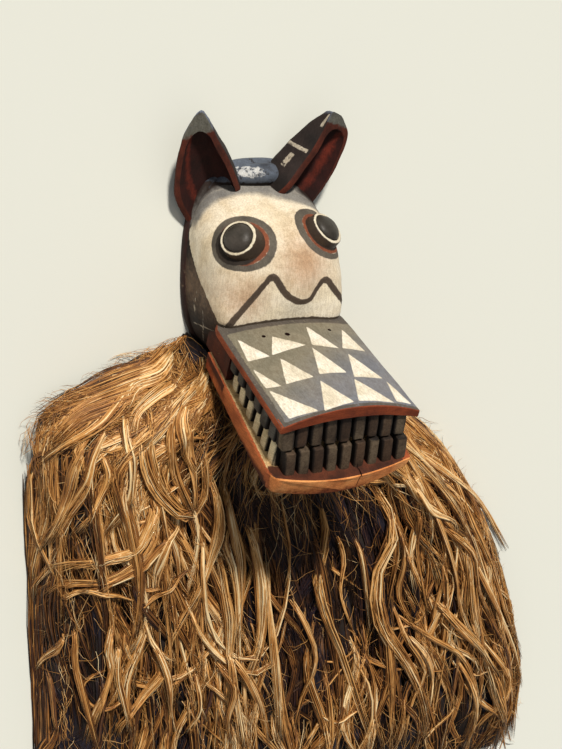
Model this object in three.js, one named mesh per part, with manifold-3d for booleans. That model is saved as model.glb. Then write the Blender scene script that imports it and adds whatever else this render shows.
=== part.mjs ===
// Bwa hyena mask with its fibre cape, lying on its back on the floor. Millimetres, +Z up.
// X runs to the mask's own left, Y towards the ears, and the snout rises from the floor towards +Z.
import * as THREE from 'three';
import Module from 'manifold-3d';

const wasm = await Module();
wasm.setup();
const { Manifold, Mesh } = wasm;

// The mask's own axes lean this much when its rim lies flat on the floor.
const lean = THREE.MathUtils.degToRad(18.4);
const rimToRoot = 112;

// Helmet, measured over the rim
const helmet = {
  middleY: 61, halfLength: 134, halfWidth: 95.5, outlinePower: 2.7, wall: 13,
  // Y along the middle, height there, and how square the arch over it is
  profile: [
    [-70, 32, 2.6], [-58, 64, 2.6], [-36, 90, 3.6], [-12, 108, 7], [4, 118, 10], [18, 121, 9],
    [30, 123, 7], [38, 124, 6], [46, 125, 5.4], [60, 125.5, 4.8], [76, 124, 4.2], [92, 120, 3.7],
    [106, 113, 3.2], [118, 103, 2.7], [131, 87, 2.3], [144, 65, 2], [156, 41, 1.9], [163, 28, 2],
    [166, 25, 2], [171, 31, 2], [181, 34, 2], [190, 28, 2.2],
  ],
  archSteps: 20, innerSteps: 10,
};
const nose = { x: 8, tipY: 44, length: 66, rise: 7, halfWidth: 26, under: 38 };
const flange = { out: 3.5, height: 13, steps: 32 };

// Snout, in the mask's own axes: x across, u up to the ears, f forward
const snout = {
  halfRoot: 93, halfFront: 96, length: 202, archRoot: 9, archFront: 19, edgeSide: 11, edgeMiddle: 17,
  back: 16, holes: [[-45, 33, 2.4], [-13, 36, 3.2], [52, 31, 2.3]],
};
const jaw = {
  halfRoot: 92, halfFront: 97, length: 203, bow: 11, wideLeft: 9, rootDrop: 48, frontDrop: 75, sag: 9, thick: 26,
  thickLeft: 13, thickRight: 28, back: 16, cornerLeft: 2, cornerRight: 9, crack: [28, 2.6, 30],
};
const teeth = {
  front: 9, pitch: 19.6, width: 15.6, depth: 13, inset: 5, lowerInset: 11, lowerFront: 3.5, side: 6, sidePitch: 24.5,
  sideWidth: 18.2, sideStart: 38, slit: 2.2, upperAt: -3, lowerAt: 8, slant: 0.15,
};
const cheek = { back: 34, front: 36, thick: 13, inset: 6 };

// The eyes sit a little uneven, the mask's own left one higher.
const eye = {
  // x, y on the dome, the way it looks, and how far it stands out
  places: [[-60, 110, [-0.66, 0.57, 0.49], 14], [61, 115, [0.38, 0.7, 0.6], 11.5]],
  base: 27.6, top: 24, dome: 5, sides: 20,
};
// The ears are cut by eye too: the right one stands wider of the head. Each row is a station from the
// root to the tip: the inner rim of the hollow, its outer rim, and the edge of the back behind the inner rim.
const ear = {
  right: [
    [-1, -20, 148, 16, -74, 92, 6, -14, 168, 2], [0, -37, 172, 38, -97, 118, 12, -30, 190, 5],
    [1, -53, 199, 46, -119, 152, 23, -46, 214, 14], [2, -72, 224, 54, -124, 190, 34, -66, 236, 28],
    [3, -86, 244, 58, -122, 232, 47, -82, 252, 42], [4, -103, 268, 62, -113, 263, 59, -101, 270, 56],
  ],
  left: [
    [-1, 12, 142, 24, 66, 112, 8, 4, 174, 3], [0, 29, 166, 45, 83, 139, 25, 15, 192, 8],
    [1, 46, 192, 50, 99, 168, 35, 27, 210, 15], [2, 60, 216, 56, 108, 196, 43, 38, 228, 26],
    [3, 72, 245, 62, 113, 233, 54, 58, 252, 42], [4, 80, 268, 66, 97, 260, 62, 76, 268, 57],
  ],
  // outlines of the wood and of the hollow: share of the width, share of the depth
  wood: [[0, 0], [0.5, -0.02], [1, 0], [1.01, 0.2], [0.88, 0.5], [0.55, 0.86], [0.12, 1.02], [-0.01, 0.9], [-0.02, 0.45]],
  hollow: [[0, -0.4], [1, -0.4], [1, 0], [0.9, 0.18], [0.66, 0.44], [0.4, 0.6], [0.14, 0.52], [0.02, 0.25]],
  rim: 7, hollowTo: 3.1, step: 0.5,
};

// Cape of bast hanks: the edges of its outline on the floor, from the mask to the hem
const cape = {
  left: [[-88, 0], [-104, -40], [-160, -52], [-218, -82], [-280, -104], [-312, -130], [-312, -237],
    [-305, -383], [-300, -540], [-296, -690], [-290, -770]],
  right: [[88, -10], [104, -52], [150, -92], [215, -140], [290, -197], [362, -271], [430, -370],
    [486, -500], [530, -620], [556, -740], [562, -830]],
  collar: [[-88, 0], [-74, -42], [-30, -62], [30, -62], [74, -42], [88, -10]],
  hem: [[-290, -770], [-190, -800], [-60, -815], [90, -830], [240, -845], [400, -850], [562, -830]],
  columns: 38, rows: 13, height: 108, collarHeight: 72, hemHeight: 56, edge: 75, ridge: 8, gap: 0.35,
};

// The middle of the part's outline on the floor, which becomes the origin
const middle = [123.6, -288.4];

const cosLean = Math.cos(lean), sinLean = Math.sin(lean);

// A point given in the mask's own axes, in the part's frame.
function fromMask([x, u, f]) {
  return [x, u * cosLean - f * sinLean, f * cosLean + u * sinLean + rimToRoot];
}

function lerp(a, b, t) {
  return a + (b - a) * t;
}

// Smooth value of a table of [at, value, ...] rows, in column k.
function tableAt(rows, at, k) {
  const last = rows.length - 1;
  if (at <= rows[0][0]) return rows[0][k];
  if (at >= rows[last][0]) return rows[last][k];
  let i = 0;
  while (rows[i + 1][0] < at) i++;
  const slope = (j) => {
    const a = rows[Math.max(j - 1, 0)], b = rows[Math.min(j + 1, last)];
    return (b[k] - a[k]) / (b[0] - a[0]);
  };
  const [a, b] = [rows[i], rows[i + 1]];
  const d = b[0] - a[0], t = (at - a[0]) / d, t2 = t * t, t3 = t2 * t;
  return (2 * t3 - 3 * t2 + 1) * a[k] + (t3 - 2 * t2 + t) * d * slope(i)
    + (3 * t2 - 2 * t3) * b[k] + (t3 - t2) * d * slope(i + 1);
}

// The solid through rings of points: each ring has the same number, and both ends are closed.
function loft(rings) {
  const n = rings[0].length, points = rings.flat(), triangles = [];
  for (let r = 0; r < rings.length - 1; r++)
    for (let i = 0; i < n; i++) {
      const a = r * n + i, b = r * n + (i + 1) % n, c = a + n, d = b + n;
      triangles.push([a, b, d], [a, d, c]);
    }
  const middle = (ring) => [0, 1, 2].map((k) => ring.reduce((s, p) => s + p[k], 0) / n);
  const last = (rings.length - 1) * n;
  points.push(middle(rings[0]), middle(rings[rings.length - 1]));
  for (let i = 0; i < n; i++) {
    const j = (i + 1) % n;
    triangles.push([points.length - 2, j, i], [points.length - 1, last + i, last + j]);
  }
  return solid(points, triangles);
}

function solid(points, triangles) {
  const make = (faces) => new Manifold(new Mesh({
    numProp: 3, vertProperties: new Float32Array(points.flat()), triVerts: new Uint32Array(faces.flat()),
  }));
  const made = make(triangles);
  return made.volume() > 0 ? made : make(triangles.map(([a, b, c]) => [a, c, b]));
}

function union(solids) {
  return Manifold.union(solids);
}

// Half the width of the helmet's outline at y, with the outline moved out by `out`.
function outlineHalf(y, out = 0) {
  const t = Math.abs(y - helmet.middleY) / (helmet.halfLength + out);
  return t >= 1 ? 0 : (helmet.halfWidth + out) * (1 - t ** helmet.outlinePower) ** (1 / helmet.outlinePower);
}

// What the nose adds to the face at x, y.
function noseRise(x, y) {
  const along = y < nose.tipY ? (y - nose.tipY) / nose.under : (y - nose.tipY) / nose.length;
  return nose.rise * Math.exp(-(((x - nose.x) / nose.halfWidth) ** 2)) * Math.max(0, 1 - along * along) ** 1.5;
}

// The dome's arch at y, as a ring that closes flat at height `floor`.
function archRing(y, inset, floor, steps) {
  const half = Math.max(outlineHalf(y, -inset), 2), height = tableAt(helmet.profile, y, 1) - inset;
  const power = 2 / tableAt(helmet.profile, y, 2), ring = [];
  for (let i = 0; i <= steps; i++) {
    const a = Math.PI * i / steps, c = Math.cos(a);
    const x = half * Math.sign(c) * Math.abs(c) ** power;
    ring.push([x, y, Math.max(height, 4) * Math.sin(a) ** power + noseRise(x, y)]);
  }
  ring[0][2] = ring[steps][2] = floor;
  return ring;
}

function dome(inset, floor, from, to) {
  const { profile, archSteps, innerSteps } = helmet, inner = inset > 0;
  const stations = profile.map((row) => row[0]).filter((y, i) => y > from + 2 && y < to - 2 && !(inner && i % 2));
  return loft([from, ...stations, to].map((y) => archRing(y, inset, floor, inner ? innerSteps : archSteps)));
}

function rimFlange(grow = 0) {
  const ring = (out, z) => Array.from({ length: flange.steps }, (_, i) => {
    const a = 2 * Math.PI * i / flange.steps, power = 2 / helmet.outlinePower;
    const put = (v, r) => r * Math.sign(v) * Math.abs(v) ** power;
    return [put(Math.cos(a), helmet.halfWidth + out), helmet.middleY + put(Math.sin(a), helmet.halfLength + out), z];
  });
  const { out, height } = flange;
  return loft([ring(out - 2 + grow, 0), ring(out + grow, 3), ring(out + grow, height - 4), ring(grow - 1, height + 2)]);
}

const snoutHalf = (f) => lerp(snout.halfRoot, snout.halfFront, f / snout.length);
const snoutTop = (x, f) => lerp(snout.archRoot, snout.archFront, f / snout.length) * (1 - (x / snoutHalf(f)) ** 2);
const snoutEdge = (x) => lerp(snout.edgeMiddle, snout.edgeSide, (x / snout.halfFront) ** 2);

function upperBoard() {
  const across = 10, ring = (f, inset) => {
    const half = snoutHalf(f) - inset, top = [], under = [];
    for (let i = 0; i <= across; i++) {
      const x = lerp(-half, half, i / across), u = snoutTop(x, f);
      top.push(fromMask([x, u, f]));
      under.unshift(fromMask([x, u - snoutEdge(x), f]));
    }
    return [...top, ...under];
  };
  return loft([ring(-snout.back, 4), ring(0, 0), ring(snout.length * 0.5, 0), ring(snout.length, 0)]);
}

const jawHalf = (f) => lerp(jaw.halfRoot, jaw.halfFront, Math.min(f / jaw.length, 1));
const jawTop = (x, f) => -lerp(jaw.rootDrop, jaw.frontDrop, f / jaw.length)
  - jaw.sag * Math.max(0, f / jaw.length) * (1 - Math.min(1, (x / jaw.halfFront) ** 2));

// The lower jaw's board, made larger all round by `grow`.
function lowerBoard(grow = 0) {
  const across = 10, stations = [-jaw.back, 0, jaw.length * 0.5, jaw.length - 14, jaw.length - 4, jaw.length];
  return loft(stations.map((f) => {
    const rounding = (Math.max(0, f - (jaw.length - 14)) / 14) ** 2, half = jawHalf(f);
    const halfLeft = half + jaw.wideLeft * Math.max(0, f / jaw.length);
    const right = half - jaw.cornerRight * rounding, left = halfLeft - jaw.cornerLeft * rounding;
    const top = [], under = [];
    for (let i = 0; i <= across; i++) {
      const x = lerp(-right, left, i / across), s = Math.max(0, 1 - (x / (x > 0 ? halfLeft : half)) ** 2);
      const forward = f + jaw.bow * s * Math.max(0, f / jaw.length) + Math.sign(f) * grow;
      const thick = lerp(x < 0 ? jaw.thickRight : jaw.thickLeft, jaw.thick, s ** 0.5);
      const wide = 1 + grow / half;
      top.push(fromMask([x * wide, jawTop(x, f) + grow, forward]));
      under.unshift(fromMask([x * wide * 0.965, jawTop(x, f) - thick - grow, forward - 5]));
    }
    return [...top, ...under];
  }));
}

// A tooth: a block with chamfered long edges and a rounded free end, in the mask's own axes.
function tooth(x, f, width, depth, from, to, slant = 0) {
  const out = Math.sign(x), front = width > depth || Math.abs(x) < 80;
  const ring = (u, grow) => {
    const w = width / 2 * grow, d = depth / 2 * grow, c = 3;
    const corners = front ? [[w - c, d], [-w + c, d], [-w, d - c], [-w, -d], [w, -d], [w, d - c]]
      : [[out * w, d - c], [out * w, -d + c], [out * (w - c), -d], [-out * w, -d], [-out * w, d], [out * (w - c), d]];
    return corners.map(([a, b]) => fromMask([x + a + slant * ((from + to) / 2 - u), u, f + b]));
  };
  return loft([ring(from, 1), ring(to - Math.sign(to - from) * 4, 1), ring(to, 0.78)]);
}

// Both rows of teeth across the front and down both sides.
function allTeeth() {
  const made = [];
  const pair = (x, f, width, depth, lowerX, lowerF, slant = 0) => {
    const roof = snoutTop(x, f) - snoutEdge(x), ground = jawTop(lowerX, lowerF);
    const meet = (roof + ground) / 2;
    made.push(tooth(x, f, width, depth, roof + 3, meet + teeth.slit / 2, slant));
    made.push(tooth(lowerX, lowerF, width, depth, ground - 3, meet - teeth.slit / 2, slant));
  };
  const frontF = snout.length - teeth.inset - teeth.depth / 2, lowerF = jaw.length - teeth.lowerFront - teeth.depth / 2;
  for (let i = 0; i < teeth.front; i++) {
    const x = (i - (teeth.front - 1) / 2) * teeth.pitch, wide = i === 0 || i === teeth.front - 1;
    pair(x + teeth.upperAt, frontF, teeth.width, teeth.depth + (wide ? 3 : 0), x + teeth.lowerAt, lowerF, teeth.slant);
  }
  for (const side of [-1, 1])
    for (let i = 0; i < teeth.side; i++) {
      const f = teeth.sideStart + (i + 0.5) * teeth.sidePitch;
      const x = side * (snoutHalf(f) - teeth.inset - teeth.depth / 2);
      pair(x, f, teeth.depth, teeth.sideWidth, side * (jawHalf(f) - teeth.lowerInset - teeth.depth / 2), f + 3);
    }
  return made;
}

function box(x0, x1, u0, u1, f0, f1) {
  const ring = (f) => [[x0, u0], [x1, u0], [x1, u1], [x0, u1]].map(([x, u]) => fromMask([x, u, f]));
  return loft([ring(f0), ring(f1)]);
}

// The corners of the mouth: a wall on each side from the helmet to the first tooth.
function cheeks() {
  return [-1, 1].map((side) => {
    const at = (f) => side * (snoutHalf(f) - cheek.inset), ring = (f) => {
      const low = jawTop(at(f), f) - 4, high = snoutTop(at(f), f) - snout.edgeSide + 4;
      return [[at(f), low], [at(f) - side * cheek.thick, low], [at(f) - side * cheek.thick, high], [at(f), high]]
        .map(([x, u]) => fromMask([x, u, f]));
    };
    return loft([ring(-cheek.back), ring(cheek.front)]);
  });
}

// Rings round an axis: each row is [along, radius].
function spun(origin, axis, rows, sides, squash = null) {
  const along = new THREE.Vector3(...axis).normalize();
  const across = new THREE.Vector3(0, 0, 1).cross(along).normalize(), up = along.clone().cross(across);
  return loft(rows.map(([d, r]) => Array.from({ length: sides }, (_, i) => {
    const a = 2 * Math.PI * i / sides;
    return new THREE.Vector3(...origin).addScaledVector(along, d)
      .addScaledVector(across, r * Math.cos(a)).addScaledVector(up, r * Math.sin(a) * (squash ?? 1)).toArray();
  })));
}

// Height of the dome's surface over x, y.
function domeHeight(x, y) {
  const power = tableAt(helmet.profile, y, 2), t = Math.abs(x) / outlineHalf(y);
  return t >= 1 ? 0 : tableAt(helmet.profile, y, 1) * (1 - t ** power) ** (1 / power) + noseRise(x, y);
}

function eyes() {
  return eye.places.map(([x, y, axis, height]) => {
    const { base, top, dome: cap } = eye;
    return spun([x, y, domeHeight(x, y)], axis, [[-22, base - 1], [2, base], [height, top],
      [height + cap * 0.6, top * 0.72], [height + cap, top * 0.25]], eye.sides);
  });
}

// One ear: a thick leaf of wood with its hollow facing out and forwards.
function earSolid(rows) {
  const spot = (s, k) => new THREE.Vector3(tableAt(rows, s, k), tableAt(rows, s, k + 1), tableAt(rows, s, k + 2));
  const ring = (s, outline, rim, close) => {
    const inner = spot(s, 1), across = spot(s, 4).sub(inner), down = spot(s, 7).sub(inner);
    const inset = rim / across.length(), span = (1 - 2 * inset) * close;
    return outline.map(([a, b]) => inner.clone().addScaledVector(across, 0.5 + (a - 0.5) * span)
      .addScaledVector(down, b).toArray());
  };
  const wood = [], hollow = [];
  for (let s = -1; s <= 4; s += ear.step) wood.push(ring(s, ear.wood, 0, 1));
  for (let s = -0.5; s < ear.hollowTo; s += ear.step) hollow.push(ring(s, ear.hollow, ear.rim, 1));
  hollow.push(ring(ear.hollowTo, ear.hollow, ear.rim, 0.3));
  return loft(wood).subtract(loft(hollow)).trimByPlane([0, 0, 1], 0.5);
}

// The outside of the helmet, made larger by `grow` and not hollow.
function helmetOutside(grow = 0) {
  const { middleY, halfLength } = helmet;
  return union([dome(-grow, 0, middleY - halfLength + 1, middleY + halfLength - 1), rimFlange(grow)]);
}

function carvedHead() {
  const { middleY, halfLength, wall } = helmet;
  const shell = union([helmetOutside(), upperBoard(), lowerBoard(), ...eyes(), earSolid(ear.right), earSolid(ear.left)]);
  const inside = dome(wall, -20, middleY - halfLength + wall + 2, middleY + halfLength - wall - 22);
  const throat = union([box(-72, 72, -46, -snout.edgeMiddle + 4, -60, 8),
    Manifold.cube([144, 24, 92]).translate([-72, -38, 26])]);
  const [at, width, deep] = jaw.crack;
  const crack = loft([0, 1].map((end) => [[at - width / 2, -130], [at + width / 2, -130], [at + width / 2, -60],
    [at - width / 2, -60]].map(([x, u]) => fromMask([end ? x : at + (x - at) * 0.15, u,
    end ? jaw.length + 20 : jaw.length - deep]))));
  const holes = snout.holes.map(([x, f, r]) => spun(fromMask([x, 14, f]), [0, cosLean, sinLean],
    [[-40, r], [6, r]], 10));
  return union([shell.subtract(union([inside, throat])), ...cheeks(), ...allTeeth()])
    .subtract(union([crack, ...holes]));
}

// A point at share s along a polyline, by its length.
function along(line, s) {
  const lengths = [0];
  for (let i = 1; i < line.length; i++)
    lengths.push(lengths[i - 1] + Math.hypot(line[i][0] - line[i - 1][0], line[i][1] - line[i - 1][1]));
  const rows = line.map((p, i) => [lengths[i], p[0], p[1]]);
  const at = s * lengths[lengths.length - 1];
  return [tableAt(rows, at, 1), tableAt(rows, at, 2)];
}

// Where share s from collar to hem and share t from left to right lie on the floor.
function capePoint(s, t) {
  const a = along(cape.left, s), b = along(cape.right, s), c = along(cape.collar, t), d = along(cape.hem, t);
  const corner = (k) => lerp(lerp(cape.left[0][k], cape.right[0][k], t),
    lerp(cape.hem[0][k], cape.hem[cape.hem.length - 1][k], t), s);
  return [0, 1].map((k) => lerp(a[k], b[k], t) + lerp(c[k], d[k], s) - corner(k));
}

// Height of the heap of fibre at s, t.
function capeHeight(s, t) {
  const across = Math.min(t, 1 - t), half = cape.edge / lerp(180, 850, s ** 0.8);
  const edge = Math.sin(Math.PI / 2 * Math.min(1, across / half + 0.16));
  const hem = Math.min(1, Math.max(0, 1 - s) / 0.16 + 0.14) ** 0.6;
  const spine = s < 0.2 ? lerp(cape.collarHeight, cape.height, Math.sin(Math.PI / 2 * s / 0.2))
    : lerp(cape.height, cape.hemHeight, (s - 0.2) / 0.8);
  const ridges = Math.sin(t * 88 + 2.2 * Math.sin(s * 7 + t * 9)) + 0.5 * Math.sin(t * 41 - 3 * s);
  return spine * edge * hem + cape.ridge * ridges * Math.min(1, s * 6);
}

// The cape's body: a heap with hank-like ridges, reaching below the floor it is trimmed at.
function capeHeap() {
  const { columns, rows } = cape, points = [], triangles = [], count = (rows + 1) * (columns + 1);
  const at = (r, c) => r * (columns + 1) + c;
  for (const top of [true, false])
    for (let r = 0; r <= rows; r++)
      for (let c = 0; c <= columns; c++) {
        const t = c / columns, uneven = Math.sin(c * 1.9) + Math.sin(c * 0.83 + 1) + 0.7 * Math.sin(c * 3.7);
        const s = (r / rows) ** 1.15 * (1 - (r > rows - 2 ? 0.016 * (1 + uneven) : 0));
        const [x, y] = capePoint(s, t), loose = c === 0 ? -1 : c === columns ? 1 : 0;
        const out = 5 * loose * (Math.sin(r * 2.1) + Math.sin(r * 0.9)) * Math.min(1, r / 3);
        points.push([x + out, y, top ? Math.max(9, capeHeight(s, t)) : -20]);
      }
  const face = (a, b, c) => triangles.push([a, b, c], [count + a, count + c, count + b]);
  for (let r = 0; r < rows; r++)
    for (let c = 0; c < columns; c++) {
      face(at(r, c), at(r + 1, c), at(r + 1, c + 1));
      face(at(r, c), at(r + 1, c + 1), at(r, c + 1));
    }
  const side = (a, b) => triangles.push([a, b, count + b], [a, count + b, count + a]);
  for (let c = 0; c < columns; c++) {
    side(at(0, c), at(0, c + 1));
    side(at(rows, c + 1), at(rows, c));
  }
  for (let r = 0; r < rows; r++) {
    side(at(r, columns), at(r + 1, columns));
    side(at(r + 1, 0), at(r, 0));
  }
  return solid(points, triangles);
}

// A loose hank lying on the heap: share s from..to at column share t, wandering sideways by `sway`.
function hank([from, to, t, sway, turns, wide, deep], k) {
  const steps = 8, path = Array.from({ length: steps + 1 }, (_, i) => {
    const q = i / steps, s = lerp(from, to, q), u = t + sway * Math.sin(Math.PI * turns * q + k);
    return [...capePoint(s, u), Math.max(14, capeHeight(s, u)) + deep * 0.35];
  });
  return loft(path.map((p, i) => {
    const a = new THREE.Vector3(...path[Math.max(i - 1, 0)]), b = new THREE.Vector3(...path[Math.min(i + 1, steps)]);
    const way = b.sub(a).normalize(), side = way.clone().cross(new THREE.Vector3(0, 0, 1)).normalize();
    const up = side.clone().cross(way), taper = Math.min(1, 0.45 + 2.2 * Math.min(i, steps - i) / steps);
    const half = wide * taper, rise = deep * taper;
    return [[half, 0], [half * 0.55, rise], [-half * 0.55, rise], [-half, 0], [-half * 0.8, -30], [half * 0.8, -30]]
      .map(([x, z]) => new THREE.Vector3(...p).addScaledVector(side, x).addScaledVector(up, z).toArray());
  }));
}

const hanks = [
  [0.1, 0.6, 0.1, 0.02, 1.5, 16, 10], [0.12, 0.7, 0.26, 0.02, 1.6, 17, 11], [0.1, 0.86, 0.36, 0.02, 2.2, 15, 10],
  [0.3, 0.95, 0.46, 0.02, 1.8, 16, 11], [0.2, 0.8, 0.56, 0.03, 1.4, 15, 10], [0.16, 0.92, 0.66, 0.02, 2, 17, 11],
  [0.14, 0.72, 0.76, 0.03, 1.7, 16, 10], [0.2, 0.95, 0.87, 0.02, 1.9, 15, 10], [0.45, 0.97, 0.16, 0.03, 1.2, 16, 10],
];

function fibreCape() {
  const around = union([helmetOutside(cape.gap), lowerBoard(2)]);
  const heap = union([capeHeap(), ...hanks.map(hank)]);
  return heap.trimByPlane([0, 0, 1], 0).subtract(around);
}

function nodeOf(name, made, colour) {
  const data = made.translate([-middle[0], -middle[1], 0]).getMesh(), geometry = new THREE.BufferGeometry();
  geometry.setAttribute('position', new THREE.Float32BufferAttribute(data.vertProperties, 3));
  geometry.setIndex(Array.from(data.triVerts));
  geometry.computeVertexNormals();
  const mesh = new THREE.Mesh(geometry, new THREE.MeshStandardMaterial({ color: colour, roughness: 0.8 }));
  mesh.name = name;
  return mesh;
}

const part = new THREE.Group();
part.add(nodeOf('carved_head', carvedHead(), '#c9a983'), nodeOf('fibre_cape', fibreCape(), '#b98a4f'));
export default part;
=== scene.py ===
# Bwa hyena mask with its fibre cape, lying on its back. Lengths inside are millimetres until a mesh is made.
import bpy
import math
from functools import partial
import numpy as np
from mathutils import Matrix, Vector, noise


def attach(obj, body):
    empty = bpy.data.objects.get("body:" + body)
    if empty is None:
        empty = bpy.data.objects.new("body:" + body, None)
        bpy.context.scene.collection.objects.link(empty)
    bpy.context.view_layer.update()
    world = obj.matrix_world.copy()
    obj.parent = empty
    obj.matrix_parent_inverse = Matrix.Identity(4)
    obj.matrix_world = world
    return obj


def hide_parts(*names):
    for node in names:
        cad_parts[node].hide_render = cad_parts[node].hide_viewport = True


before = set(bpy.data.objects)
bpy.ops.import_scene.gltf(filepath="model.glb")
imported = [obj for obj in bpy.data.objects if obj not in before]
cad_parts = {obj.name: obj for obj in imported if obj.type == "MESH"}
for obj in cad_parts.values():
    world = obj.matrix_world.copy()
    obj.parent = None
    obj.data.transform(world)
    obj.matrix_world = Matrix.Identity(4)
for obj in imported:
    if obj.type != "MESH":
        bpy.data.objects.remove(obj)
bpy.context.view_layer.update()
bpy.ops.object.select_all(action="DESELECT")
rng = np.random.default_rng(11)

# The mask's own axes (x to its left, u up to the ears, f forwards) lean when its rim lies on the floor.
setting = {"lean": math.radians(18.4), "rimToRoot": 112.0, "middle": (123.6, -288.4)}
cosLean, sinLean = math.cos(setting["lean"]), math.sin(setting["lean"])


def fromMask(x, u, f):
    x, u, f = np.broadcast_arrays(np.asarray(x, float), u, f)
    return np.stack([x, u * cosLean - f * sinLean, f * cosLean + u * sinLean + setting["rimToRoot"]], -1)


def toMask(p):
    z = p[..., 2] - setting["rimToRoot"]
    return p[..., 0], p[..., 1] * cosLean + z * sinLean, z * cosLean - p[..., 1] * sinLean


def toPart(p):  # to metres, with the origin under the middle of the part
    return (np.asarray(p, float) - (*setting["middle"], 0)) / 1000


def fromPart(p):
    return p * 1000 + (*setting["middle"], 0)


def tableAt(rows, at, k=1):  # smooth value of a table of rows, in column k
    rows = np.asarray(rows, float)
    xs, ys = rows[:, 0], rows[:, k]
    slope = np.concatenate([[(ys[1] - ys[0]) / (xs[1] - xs[0])], (ys[2:] - ys[:-2]) / (xs[2:] - xs[:-2]),
                            [(ys[-1] - ys[-2]) / (xs[-1] - xs[-2])]])
    at = np.clip(at, xs[0], xs[-1])
    i = np.clip(np.searchsorted(xs, at, side="right") - 1, 0, len(xs) - 2)
    d = xs[i + 1] - xs[i]
    t = (at - xs[i]) / d
    return ((2 * t**3 - 3 * t**2 + 1) * ys[i] + (t**3 - 2 * t**2 + t) * d * slope[i]
            + (3 * t**2 - 2 * t**3) * ys[i + 1] + (t**3 - t**2) * d * slope[i + 1])


def smooth(low, high, v):
    t = np.clip((v - low) / (high - low), 0, 1)
    return t * t * (3 - 2 * t)


def stepsAlong(line):  # length of a line up to each of its points
    return np.concatenate([[0], np.cumsum(np.linalg.norm(np.diff(line, axis=0), axis=1))])


def lineDistance(p, line):  # distance of 2-D points to a polyline
    best = np.full(len(p), 1e9)
    for a, b in zip(np.asarray(line, float)[:-1], np.asarray(line, float)[1:]):
        t = np.clip(((p - a) @ (b - a)) / max(1e-9, (b - a) @ (b - a)), 0, 1)
        best = np.minimum(best, np.linalg.norm(p - a - t[:, None] * (b - a), axis=1))
    return best


def insidePolygon(p, corners):  # signed distance, positive inside
    corners = np.asarray(corners, float)
    inside = np.zeros(len(p), bool)
    for a, b in zip(corners, np.roll(corners, -1, 0)):
        if a[1] != b[1]:
            crosses = (a[1] > p[:, 1]) != (b[1] > p[:, 1])
            inside ^= crosses & (p[:, 0] < (b[0] - a[0]) * (p[:, 1] - a[1]) / (b[1] - a[1]) + a[0])
    edge = lineDistance(p, np.vstack([corners, corners[:1]]))
    return np.where(inside, edge, -edge)


# Materials

def hexColour(code):
    parts = [int(code[i:i + 2], 16) / 255 for i in (1, 3, 5)]
    return (*[c / 12.92 if c <= 0.04045 else ((c + 0.055) / 1.055) ** 2.4 for c in parts], 1)


def setInputs(node, inputs):  # an output is linked, a hex colour is made linear, anything else is set as it is
    for name, value in inputs.items():
        if isinstance(value, bpy.types.NodeSocket):
            node.id_data.links.new(value, node.inputs[name])
        else:
            node.inputs[name].default_value = hexColour(value) if isinstance(value, str) else value


def addNode(tree, kind, inputs, out=0, **settings):  # a node with its settings and links; gives one output
    node = tree.nodes.new("ShaderNode" + kind)
    for name, value in settings.items():
        setattr(node, name, value)
    setInputs(node, inputs)
    return node.outputs[out]


def newMaterial(name):  # the material, a short way to add nodes to it, and its shader
    material = bpy.data.materials.new(name)
    material.use_nodes = True
    tree = material.node_tree
    return material, partial(addNode, tree), tree.nodes["Principled BSDF"]


# Inputs for a node: a share and two amounts, a share and two colours, a value and the range it is spread over.
def amounts(share, low, high):
    return {0: share, 2: low, 3: high}


def colours(share, low, high):
    return {0: share, 6: low, 7: high}


def span(value, low, high, most=1.0):
    return {"Value": value, "From Min": low, "From Max": high, "To Max": most}


woodPatterns = {  # size in mm, detail, roughness, distortion
    "fibres": (2.2, 5, 0.6, 0.4),         # wood fibres about 2 mm apart, drawn out along the grain
    "broad": (34, 3, 0.55, 0.0),          # blotches a few centimetres wide
    "middling": (9, 5, 0.62, 0.3),
    "fine": (1.6, 3, 0.6, 0.0),           # brushed paint, as fine as the render shows
    "waver": (6, 3, 0.6, 0.0),            # bends the edges of the painted bands
}
grainStretch = {"X": (0.12, 1, 1), "Y": (1, 0.12, 1), "Z": (1, 1, 0.12)}
wear = {"waver": 3.4, "chips": 0.85, "specks": 0.22, "dirt": 0.42, "bump": 0.0012}  # how strongly each shows
colourMix = {"data_type": "RGBA", "clamp_factor": True}
darken = {**colourMix, "blend_type": "MULTIPLY"}
softRange = {"interpolation_type": "SMOOTHSTEP"}


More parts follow.
